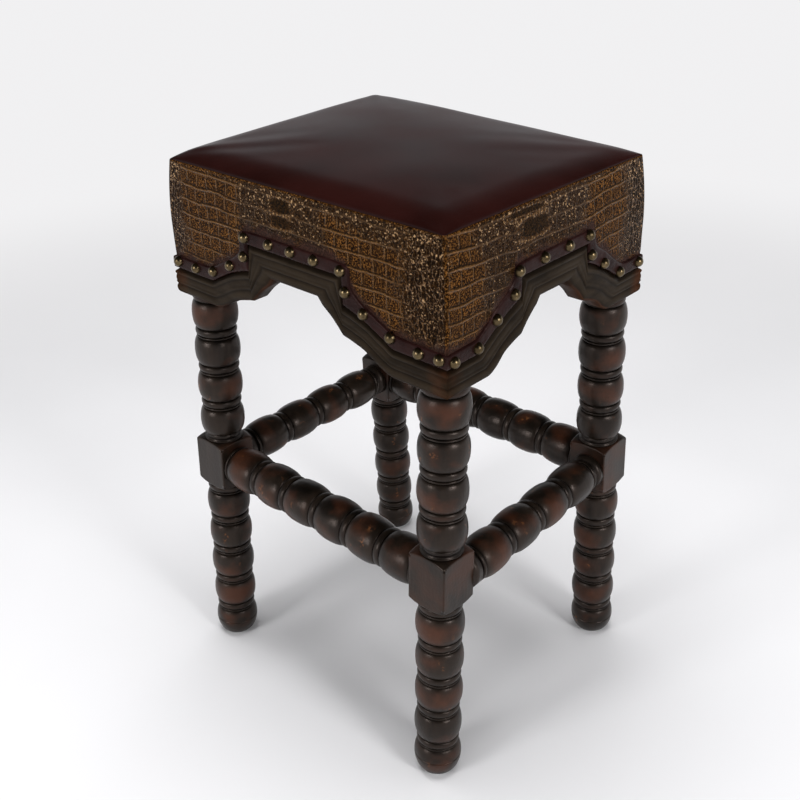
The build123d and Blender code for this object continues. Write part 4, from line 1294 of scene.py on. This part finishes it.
# The hidden pieces keep the CAD's shapes and get materials of their own
sawn = plain_material("brace_wood", (0.20, 0.115, 0.055), (0.40, 0.26, 0.14), 40, (1, 1, 0.2), 0.65)
ply = plain_material("plywood", (0.32, 0.21, 0.11), (0.52, 0.38, 0.23), 30, (0.3, 1, 1), 0.6)
steel = plain_material("zinc_steel", (0.42, 0.43, 0.44), (0.60, 0.61, 0.62), 90, (1, 1, 1), 0.38, 1.0)
blued = plain_material("blued_steel", (0.012, 0.014, 0.02), (0.03, 0.035, 0.045), 90, (1, 1, 1), 0.35, 0.9)
kept = {"seat_deck": ply, "cover_tacks": blued}
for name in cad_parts:
    if name.startswith("corner_brace"):
        kept[name] = sawn
    if name.startswith("hanger") or name.endswith("_screws"):
        kept[name] = steel
for name, material in kept.items():
    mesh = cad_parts[name].data
    mesh.materials.clear()
    mesh.materials.append(material)


# Floor, light and camera

# Lamps: place, what each is aimed at, size in metres and power in watts
ABOVE_LAMP = ((-0.25, 0.1, 3.6), (0, 0, 0.3), (2.6, 2.6), 110)
FRONT_LAMP = ((-0.5, -2.9, 1.5), (0, 0, 0.5), (0.8, 1.0), 34)
RIGHT_LAMP = ((2.9, -0.3, 1.7), (0, 0, 0.5), (0.8, 1.0), 44)
# The studio's walls are bright and its ceiling is dim. WALL_LOW and WALL_HIGH are the Z of the directions
# between which the one goes over into the other
SKY_COLOUR = (0.96, 0.97, 1, 1)
SKY_STRENGTH = 0.05
WALL_STRENGTH = 1.0
WALL_LOW = 0.20
WALL_HIGH = 0.36
FLOOR_SIZE = 40
FLOOR_NEAR = 0.9
FLOOR_FAR = 2.6
FLOOR_WHITE = (0.88, 0.875, 0.885, 1)
# The photo's camera, solved from the stool's edges: angles in degrees, lens and sensor in mm
CAMERA_AT = (0.84111, -0.90475, 1.08830)
CAMERA_AZIMUTH = 43.4538
CAMERA_ELEVATION = 28.9417
CAMERA_ROLL = -1.6441
CAMERA_LENS = 45.64
CAMERA_SENSOR_W = 36


def floor():
    """Pale floor that takes the shadows and goes over into an even white background far away."""
    m = Nodes("floor")
    tint = m.ramp(m.noise(1.2, 3), (0.3, (0.85, 0.845, 0.86)), (0.7, (0.89, 0.885, 0.90)))
    m.set(Base_Color=tint, Roughness=0.7, Specular_IOR_Level=0.2)
    away = m.tree.nodes.new("ShaderNodeVectorMath")
    away.operation = "LENGTH"
    m.give(away.inputs[0], m.place)
    far = m.add("ShaderNodeMapRange", Value=away.outputs["Value"], From_Min=FLOOR_NEAR, From_Max=FLOOR_FAR)
    far.interpolation_type = "SMOOTHSTEP"
    path = m.add("ShaderNodeLightPath")
    seen = m.math("MAXIMUM", path.outputs["Is Camera Ray"], path.outputs["Is Glossy Ray"])
    seen = m.math("MAXIMUM", seen, path.outputs["Is Transmission Ray"])
    white = m.add("ShaderNodeEmission", Color=FLOOR_WHITE)
    mix = m.add("ShaderNodeMixShader")
    m.give(mix.inputs[0], m.math("MULTIPLY", seen, far.outputs[0]))
    m.give(mix.inputs[1], m.shader.outputs[0])
    m.give(mix.inputs[2], white.outputs[0])
    m.give(m.tree.nodes["Material Output"].inputs["Surface"], mix.outputs[0])
    edge = FLOOR_SIZE / 2
    points = [(-edge, -edge, 0), (edge, -edge, 0), (edge, edge, 0), (-edge, edge, 0)]
    make_object("floor", points, [(0, 1, 2, 3)], m.material)


def lamp(name, place, aim, size, power):
    """Soft flat lamp."""
    data = bpy.data.lights.new(name, "AREA")
    data.shape = "RECTANGLE"
    data.size, data.size_y = size
    data.energy = power
    light = bpy.data.objects.new(name, data)
    light.location = place
    light.rotation_euler = (Vector(aim) - Vector(place)).to_track_quat("-Z", "Y").to_euler()
    bpy.context.scene.collection.objects.link(light)
    return light


def sky():
    """Dim even light, with a brighter band low down as from the walls of a studio."""
    world = bpy.data.worlds.new("studio")
    bpy.context.scene.world = world
    world.use_nodes = True
    tree = world.node_tree
    place = tree.nodes.new("ShaderNodeTexCoord")
    split = tree.nodes.new("ShaderNodeSeparateXYZ")
    tree.links.new(place.outputs["Generated"], split.inputs[0])
    fall = tree.nodes.new("ShaderNodeMapRange")
    fall.interpolation_type = "SMOOTHSTEP"
    tree.links.new(split.outputs["Z"], fall.inputs["Value"])
    for key, value in (("From Min", WALL_LOW), ("From Max", WALL_HIGH),
                       ("To Min", WALL_STRENGTH), ("To Max", SKY_STRENGTH)):
        fall.inputs[key].default_value = value
    soft = tree.nodes["Background"]
    soft.inputs["Color"].default_value = SKY_COLOUR
    tree.links.new(fall.outputs[0], soft.inputs["Strength"])


def camera():
    """The camera of the photo."""
    azimuth, elevation, roll = (math.radians(v) for v in (CAMERA_AZIMUTH, CAMERA_ELEVATION, CAMERA_ROLL))
    back = Vector((math.sin(azimuth) * math.cos(elevation), -math.cos(azimuth) * math.cos(elevation),
                   math.sin(elevation)))
    level = Vector((0, 0, 1)).cross(back).normalized()
    upward = back.cross(level)
    right = math.cos(roll) * level + math.sin(roll) * upward
    top = math.cos(roll) * upward - math.sin(roll) * level
    data = bpy.data.cameras.new("camera")
    data.lens = CAMERA_LENS
    data.sensor_width = CAMERA_SENSOR_W
    eye = bpy.data.objects.new("camera", data)
    eye.matrix_world = Matrix.Translation(CAMERA_AT) @ Matrix((right, top, back)).transposed().to_4x4()
    bpy.context.scene.collection.objects.link(eye)
    bpy.context.scene.camera = eye


floor()
# Its mirror image would lie on the seat as a grey patch that the photo doesn't have
lamp("above", *ABOVE_LAMP).visible_glossy = False
lamp("front", *FRONT_LAMP)
lamp("right", *RIGHT_LAMP)
sky()
camera()
bpy.context.scene.view_settings.view_transform = "Standard"
